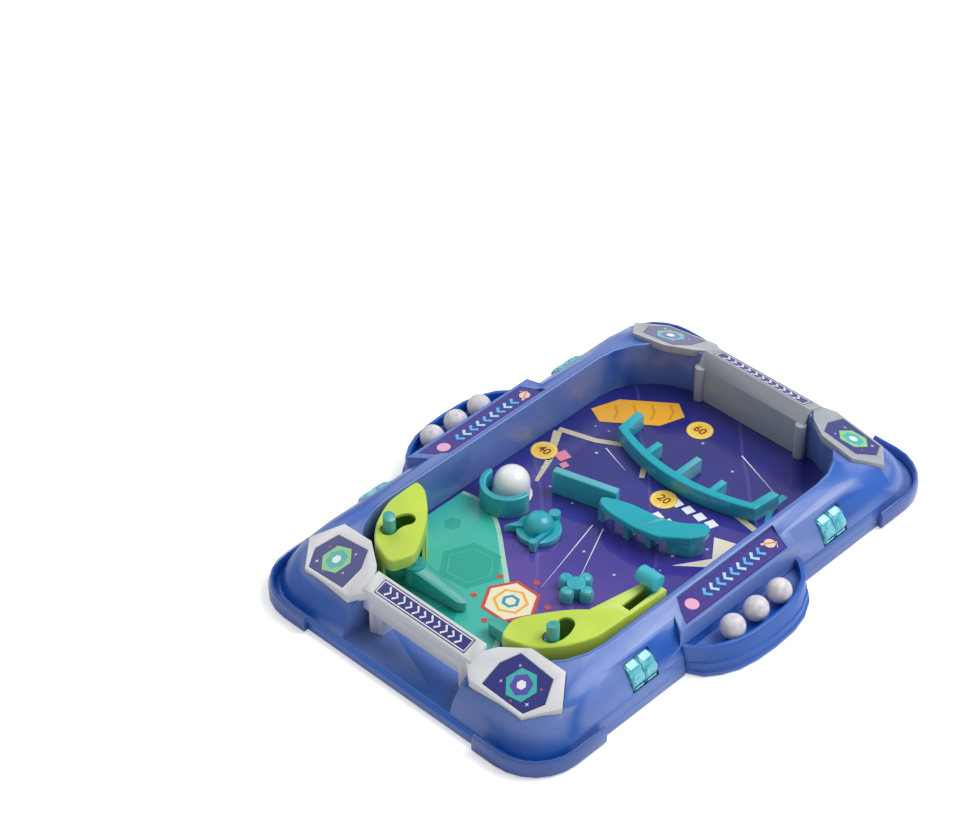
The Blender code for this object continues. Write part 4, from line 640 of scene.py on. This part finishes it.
class PINBALL_OT_deck_labels(bpy.types.Operator):
    """Dress the two deck labels beside the ball pockets"""

    bl_idname = "pinball.deck_labels"
    bl_label = "Deck labels"

    def execute(self, context):
        violet = printed_film("violet_label_print", "#41358f")
        inks = [printed_film("pale_cyan_ink", "#a5e6fb"), printed_film("bright_cyan_ink", "#56b9f0"),
                printed_film("pink_ink", "#eab0cf"), printed_film("peach_ink", "#f2cfb4"),
                printed_film("mid_violet_ink", "#6a5cb8")]
        for name, side in (("left", -1), ("right", 1)):
            dress(f"deck_label_{name}", violet, 0)
            sheet = Print(deck_plane)
            for index in range(9):
                y = -22 + index * 6.2
                ink = 0 if index % 2 else 1
                sheet.ribbon(mm([(side * 99.2, y + 3.0), (side * 102.6, y), (side * 106.2, y + 3.0)]),
                             2.1 * MM, ink)
            sheet.level = 1
            sheet.fill(mm(disc(side * 103, -34, 4.4)), 2)
            sheet.fill(mm(disc(side * 102, 39, 3.6)), 3)
            sheet.ribbon(mm([(side * 99, 34), (side * 104, 43), (side * 107.5, 40)]), 1.6 * MM, 3, 0.6)
            sheet.level = 0
            for dx, y, size in ((98.5, -26, 1.0), (107.5, -28, 0.8), (98.0, 45, 0.9), (109, 30, 1.1),
                                (97.6, 8, 0.8)):
                sheet.fill(mm(spark(side * dx, y, size)), 4)
            sheet.done(f"deck_{name}_print", inks, "tray")
        return {'FINISHED'}


class PINBALL_OT_field(bpy.types.Operator):
    """Dress the play field sheet and print its shapes"""

    bl_idname = "pinball.field"
    bl_label = "Play field"

    def execute(self, context):
        dress("playfield_sheet", field_film("violet_field_film"), 0)
        inks = [printed_film(name, code) for name, code in (
            ("teal_wave_ink", "#3fbcae"), ("deep_teal_ink", "#1ea898"), ("pale_edge_ink", "#a9d9c4"),
            ("orange_ink", "#f2b233"), ("amber_ink", "#dd9526"), ("disc_yellow_ink", "#f7cd4f"),
            ("disc_rim_ink", "#ffe9a6"), ("brown_figure_ink", "#8c3d14"), ("rose_ink", "#e687a2"),
            ("sand_ink", "#cfc3a4"), ("field_white_ink", "#f2f2fb"), ("field_navy_ink", "#2a2a80"),
            ("cream_ink", "#f3ead0"), ("brick_ink", "#cc4b3d"), ("lagoon_ink", "#2f9fb8"),
            ("pale_sand_ink", "#e9e2cf"))]
        sheet = Print(field_plane)
        self.print_waves(sheet)
        self.print_motifs(sheet)
        self.print_discs(sheet)
        sheet.done("field_print", inks, "tray")
        self.print_sparks(context.scene.pinball_sizes.sparks, inks[10])
        return {'FINISHED'}

    def wave_edge(self, shift):
        """Points of the wavy border of the teal area, moved inwards by a shift in millimetres."""
        points = []
        for step in range(41):
            share = step / 40
            x = -88.6 + 122 * share
            y = -33 - 108 * share ** 2.2 + 3.2 * math.sin(share * 9.4) - shift
            points.append((x - shift * share, max(y, -146.4)))
        return points

    def corner(self):
        """Points along the sheet's front left corner."""
        points = [(-38, -146.4)] + arc(-40, -97.5, 48.6, 268, 182, 14) + [(-88.6, -96)]
        return points

    def print_waves(self, sheet):
        """The teal area in three wavy layers with a pale edge."""
        for level, shift, ink in ((0, -2.2, 2), (1, 0.6, 0), (2, 14, 0)):
            sheet.level = level
            edge = self.wave_edge(shift)
            sheet.fill(mm(edge + [(edge[-1][0], -146.4)] + self.corner()), ink)
        sheet.level = 3
        sheet.fill(mm(polygon(-37, -78, 21, 6, math.radians(8))), 1)
        sheet.level = 4
        inner = polygon(-37, -78, 15.5, 6, math.radians(8))
        sheet.ribbon(mm(inner + inner[:1]), 0.8 * MM, 0)
        sheet.fill(mm(polygon(-72, -58, 6.0, 6, 0.3)), 1)
        sheet.fill(mm(polygon(-18, -120, 8.0, 6, 0.1)), 1)

    def print_motifs(self, sheet):
        """Bands, lozenges and chevrons round the field."""
        sheet.level = 5
        lozenge = [(-86, 86), (-73, 80), (-42, 104), (-36, 122), (-48, 130), (-79, 106)]
        sheet.fill(mm(lozenge), 3)
        sheet.level = 6
        for share in (0.2, 0.42, 0.64, 0.86):
            x, y = -80 + 40 * share, 86 + 38 * share
            sheet.ribbon(mm([(x - 5, y + 6), (x + 1, y + 1.5), (x + 4.5, y - 6)]), 1.7 * MM, 4)
        sheet.level = 5
        sheet.ribbon(mm([(-87, 56), (-62, 64), (-36, 79), (-25, 71), (-16, 57)]), 4.4 * MM, 9, 0.2)
        sheet.ribbon(mm([(20, 64), (46, 72), (84, 66)]), 4.2 * MM, 9)
        sheet.fill(mm([(88, 58), (78, 30), (52, 8), (66, 30), (54, 46)]), 15)
        sheet.ribbon(mm([(-86, 54), (-70, 28), (-62, 8)]), 6.0 * MM, 9, 0.6)
        for index, (x, y) in enumerate(((14, 58), (10, 40), (16, 31))):
            for step in range(4 - index):
                left = x + index * 3 + step * 9.5
                sheet.fill(mm([(left, y), (left + 6.5, y - 1.6), (left + 4.5, y - 7.6),
                               (left - 2, y - 6.0)]), 10)
        for x, y, size in ((-67, 38, 6.0), (-60, 32, 3.6), (-72, 30, 2.8)):
            sheet.fill(mm(polygon(x, y, size, 4, 0.5)), 8)
        sheet.fill(mm(polygon(49, -9, 6.2, 6, 0.4)), 3)
        sheet.level = 6
        sheet.fill(mm(polygon(49, -9, 3.6, 6, 0.4)), 4)
        for size, turn, ink in ((19, 0.0, 13), (16.5, 0.0, 12), (11.5, 0.52, 3), (9.5, 0.52, 12),
                                (6.0, 0.0, 14), (3.6, 0.0, 12)):
            sheet.level += 0.5
            sheet.fill(mm(polygon(3, -84, size, 6, turn)), ink)
        sheet.level = 6
        for angle in range(0, 360, 60):
            turned = math.radians(angle + 30)
            x, y = 3 + 23 * math.cos(turned), -84 + 23 * math.sin(turned)
            sheet.fill(mm(polygon(x, y, 2.6, 4, turned)), 13)
        sheet.level = 5
        sheet.ribbon(mm(arc(103, 104, 42, 176, 236)), 4.5 * MM, 14, 0.5)
        sheet.ribbon(mm(arc(112, 74, 36, 150, 200)), 3.0 * MM, 14, 0.5)
        for line in (((-52, 63), (-28, 55)), ((16, 118), (58, 103)), ((46, -2), (62, -18)),
                     ((-8, 2), (8, -62)), ((-1, 4), (24, -50))):
            sheet.ribbon(mm(line), 0.8 * MM, 10, 0.85)

    def print_discs(self, sheet):
        """Score discs with plain numbers, turned towards the player."""
        for words, x, y in (("60", -20, 118.6), ("40", -79, 33.5), ("20", 8, 51)):
            sheet.level = 7
            sheet.fill(mm(disc(x, y, 8.8)), 5)
            sheet.level = 8
            sheet.fill(mm(disc(x, y, 7.6)), 6)
            sheet.level = 9
            sheet.fill(mm(disc(x, y, 7.0)), 5)
            sheet.level = 10
            sheet.number(words, x * MM, y * MM, 8.6 * MM, 7)

    def print_sparks(self, count, white):
        """Small white sparks spread over the open field."""
        rng = random.Random(11)
        bm = bmesh.new()
        placed = 0
        while placed < count:
            x, y = rng.uniform(-84, 84), rng.uniform(-30, 136)
            if abs(x) > 62 and y > 104:
                continue
            bm.verts.new((x * MM, y * MM, SHEET_TOP + PRINT_LIFT + PRINT_STEP * 12))
            placed += 1
        mesh = bpy.data.meshes.new("spark_places")
        bm.to_mesh(mesh)
        bm.free()
        thing = bpy.data.objects.new("field_sparks", mesh)
        bpy.context.scene.collection.objects.link(thing)
        run_nodes(thing, spark_nodes(), {"Size": 2.2 * MM, "Seed": 5, "Finish": white})
        finish_piece(thing, None, "tray")


class PINBALL_OT_covers(bpy.types.Operator):
    """Dress the flipper covers, flippers and launch plunger"""

    bl_idname = "pinball.covers"
    bl_label = "Covers and flippers"

    def execute(self, context):
        edge = context.scene.pinball_sizes.edge
        lime = moulded_plastic("lime_abs", hex_of(context.scene.pinball_colours.lime), 0.36, coat=0.15)
        green = moulded_plastic("deep_teal_abs", "#12a49a", 0.32, coat=0.2)
        teal = moulded_plastic("bright_teal_abs", "#25b9c4", 0.32, coat=0.2)
        for side in ("left", "right"):
            dress(f"flipper_cover_{side}", lime, edge)
            dress(f"flipper_{side}", green, edge * 1.2)
        dress("launch_plunger", teal, edge)
        return {'FINISHED'}


class PINBALL_OT_furniture(bpy.types.Operator):
    """Dress the rails, bumpers, cup and bell dome on the play field"""

    bl_idname = "pinball.furniture"
    bl_label = "Field pieces"

    def execute(self, context):
        edge = context.scene.pinball_sizes.edge
        teal = moulded_plastic("teal_abs", hex_of(context.scene.pinball_colours.teal), 0.32, coat=0.2)
        white = moulded_plastic("white_abs", "#f1f3f4", 0.24, spread=0.02, coat=0.3)
        for node in ("ball_cup", "straight_barrier", "arched_rail", "comb_rail"):
            dress(node, teal, edge * 1.2)
        for node in ("ringed_bumper", "star_bumper"):
            dress(node, teal, edge * 1.6, 40)
        dress("bell_dome", white, edge, 40)
        return {'FINISHED'}


class PINBALL_OT_counters(bpy.types.Operator):
    """Dress the score wheels and add their raised cells"""

    bl_idname = "pinball.counters"
    bl_label = "Score wheels"

    def execute(self, context):
        cyan = clear_cyan("clear_cyan_styrene")
        steel = zinc_steel("zinc_plated_steel")
        cells = wheel_cell_nodes()
        for node in frame["nodes"]:
            if node.startswith("counter_axle"):
                dress(node, steel, 0)
            if not node.startswith("score_wheel"):
                continue
            dress(node, cyan, 0.0003)
            low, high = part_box(node)
            middle = [(low[axis] + high[axis]) / 2 for axis in range(3)]
            mesh = bpy.data.meshes.new("cell_seed")
            thing = bpy.data.objects.new(f"{node}_cells", mesh)
            bpy.context.scene.collection.objects.link(thing)
            run_nodes(thing, cells, {"Cells": context.scene.pinball_sizes.cells, "Radius": 0.0110,
                                     "Width": 0.0078, "Height": 0.0052, "Depth": 0.0010, "Finish": cyan})
            turn = Matrix.Translation(middle) @ Matrix.Rotation(math.radians(90), 4, 'X')
            thing.data.transform(turn @ Matrix.Rotation(math.radians(22.5), 4, 'Z'))
            bevel = thing.modifiers.new("Cell edges", 'BEVEL')
            bevel.width = 0.0004
            bevel.segments = 2
            apply_modifiers(thing)
            finish_piece(thing, None, body_of_node(node))
        return {'FINISHED'}


class PINBALL_OT_hardware(bpy.types.Operator):
    """Dress the pins, screws and spring"""

    bl_idname = "pinball.hardware"
    bl_label = "Hardware"

    def execute(self, context):
        steel = bpy.data.materials["zinc_plated_steel"]
        for node in frame["nodes"]:
            if node.startswith(("flipper_pivot", "pan_screw", "plunger_spring")):
                dress(node, steel, 0)
        return {'FINISHED'}


class PINBALL_OT_balls(bpy.types.Operator):
    """Make the balls with their fine pearly surface"""

    bl_idname = "pinball.balls"
    bl_label = "Balls"

    def execute(self, context):
        resin = pearl("pearl_resin")
        for node in sorted(frame["nodes"]):
            if not node.startswith("ball_left") and not node.startswith("ball_right"):
                continue
            low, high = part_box(node)
            middle = Vector([(low[axis] + high[axis]) / 2 for axis in range(3)])
            bm = bmesh.new()
            bmesh.ops.create_icosphere(bm, subdivisions=4, radius=(high[2] - low[2]) / 2 * 0.999)
            rng = random.Random(node)
            for vert in bm.verts:
                vert.co *= 1 - 0.002 * rng.random()
            bmesh.ops.translate(bm, verts=bm.verts, vec=middle)
            ball = mesh_piece(f"{node}_resin", bm, [resin], body_of_node(node), 60)
            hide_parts(node)
        return {'FINISHED'}


class PINBALL_OT_stage(bpy.types.Operator):
    """Make the floor, the lights, the white surroundings and the camera"""

    bl_idname = "pinball.stage"
    bl_label = "Stage"

    def execute(self, context):
        self.make_floor()
        self.make_world()
        self.make_lights()
        self.make_camera()
        return {'FINISHED'}

    def make_floor(self):
        """A wide pale floor that shows white to the camera away from the object's shadow."""
        bm = bmesh.new()
        bmesh.ops.create_grid(bm, x_segments=2, y_segments=2, size=6)
        mesh = bpy.data.meshes.new("floor")
        bm.to_mesh(mesh)
        bm.free()
        material, tree, shader = new_material("pale_floor")
        place = add(tree, "ShaderNodeTexCoord").outputs["Object"]
        mottle = add(tree, "ShaderNodeTexNoise", {"Vector": place, "Scale": 2.0})
        tone = ramp(tree, mottle.outputs["Fac"], [(0.4, (0.9, 0.9, 0.91, 1)),
                                                  (0.6, (0.93, 0.93, 0.93, 1))])
        tree.links.new(tone.outputs["Color"], shader.inputs["Base Color"])
        shader.inputs["Roughness"].default_value = 0.9
        shader.inputs["Emission Color"].default_value = (1, 1, 1, 1)
        path = add(tree, "ShaderNodeLightPath")
        glow = add(tree, "ShaderNodeMath", {0: path.outputs["Is Camera Ray"], 1: FLOOR_GLOW},
                   operation='MULTIPLY')
        tree.links.new(glow.outputs[0], shader.inputs["Emission Strength"])
        mesh.materials.append(material)
        floor = bpy.data.objects.new("floor", mesh)
        bpy.context.scene.collection.objects.link(floor)

    def make_world(self):
        """White to the camera and through clear parts, softer as a light."""
        world = bpy.data.worlds.new("studio")
        world.use_nodes = True
        bpy.context.scene.world = world
        tree = world.node_tree
        back = tree.nodes["Background"]
        path = add(tree, "ShaderNodeLightPath")
        seen = add(tree, "ShaderNodeMath", {0: path.outputs["Is Camera Ray"],
                                            1: path.outputs["Is Transmission Ray"]}, operation='MAXIMUM')
        level = add(tree, "ShaderNodeMapRange", {
            "Value": seen.outputs[0], "To Min": SKY_LEVEL, "To Max": 1.0})
        tree.links.new(level.outputs["Result"], back.inputs["Strength"])
        back.inputs["Color"].default_value = (1, 1, 1, 1)

    def make_lights(self):
        """A wide soft lamp overhead towards the rear right, and a weaker one from the left."""
        for name, place, size, power in LAMPS:
            lamp = bpy.data.lights.new(name, 'AREA')
            lamp.shape = 'SQUARE'
            lamp.size = size
            lamp.energy = power
            thing = bpy.data.objects.new(name, lamp)
            bpy.context.scene.collection.objects.link(thing)
            thing.location = place
            thing.rotation_euler = (-Vector(place)).to_track_quat('-Z', 'Y').to_euler()

    def make_camera(self):
        """The camera at the photograph's angle, with its lens and place."""
        azimuth, rise = math.radians(CAMERA_AZIMUTH_DEG), math.radians(CAMERA_RISE_DEG)
        back = Vector((math.sin(azimuth) * math.cos(rise), -math.cos(azimuth) * math.cos(rise),
                       math.sin(rise)))
        right = Vector((math.cos(azimuth), math.sin(azimuth), 0))
        up = back.cross(right)
        lens = bpy.data.cameras.new("camera")
        lens.lens = CAMERA_LENS_MM
        lens.sensor_width = CAMERA_SENSOR_MM
        lens.clip_start = 0.05
        lens.clip_end = 30
        camera = bpy.data.objects.new("camera", lens)
        bpy.context.scene.collection.objects.link(camera)
        pose = Matrix((right, up, back)).transposed().to_4x4()
        camera.matrix_world = Matrix.Translation(CAMERA_PLACE) @ pose
        bpy.context.scene.camera = camera


class PINBALL_PT_panel(bpy.types.Panel):
    """Lists the pinball game's pieces and settings"""

    bl_label = "Pinball game"
    bl_idname = "PINBALL_PT_panel"
    bl_space_type = 'VIEW_3D'
    bl_region_type = 'UI'
    bl_category = "Pinball"

    def draw(self, context):
        layout = self.layout
        for settings in (context.scene.pinball_colours, context.scene.pinball_sizes):
            for key in settings.bl_rna.properties.keys():
                if key not in ("rna_type", "name"):
                    layout.prop(settings, key)
        for operator in OPERATORS:
            layout.operator(operator.bl_idname)


OPERATORS = (PINBALL_OT_stage, PINBALL_OT_tray, PINBALL_OT_bridges, PINBALL_OT_deck_labels,
             PINBALL_OT_field, PINBALL_OT_covers, PINBALL_OT_furniture, PINBALL_OT_counters,
             PINBALL_OT_hardware, PINBALL_OT_balls)
CLASSES = (PinballColours, PinballSizes, *OPERATORS, PINBALL_PT_panel)


def register():
    """Registers the classes and the settings."""
    for item in CLASSES:
        bpy.utils.register_class(item)
    bpy.types.Scene.pinball_colours = PointerProperty(type=PinballColours)
    bpy.types.Scene.pinball_sizes = PointerProperty(type=PinballSizes)


def unregister():
    """Removes the settings and the classes."""
    del bpy.types.Scene.pinball_sizes
    del bpy.types.Scene.pinball_colours
    for item in reversed(CLASSES):
        bpy.utils.unregister_class(item)


def main():
    """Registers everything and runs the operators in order."""
    register()
    bpy.context.scene.view_settings.view_transform = 'Standard'
    bpy.ops.pinball.stage()
    bpy.ops.pinball.tray()
    bpy.ops.pinball.bridges()
    bpy.ops.pinball.deck_labels()
    bpy.ops.pinball.field()
    bpy.ops.pinball.covers()
    bpy.ops.pinball.furniture()
    bpy.ops.pinball.counters()
    bpy.ops.pinball.hardware()
    bpy.ops.pinball.balls()


if __name__ == "__main__":
    main()
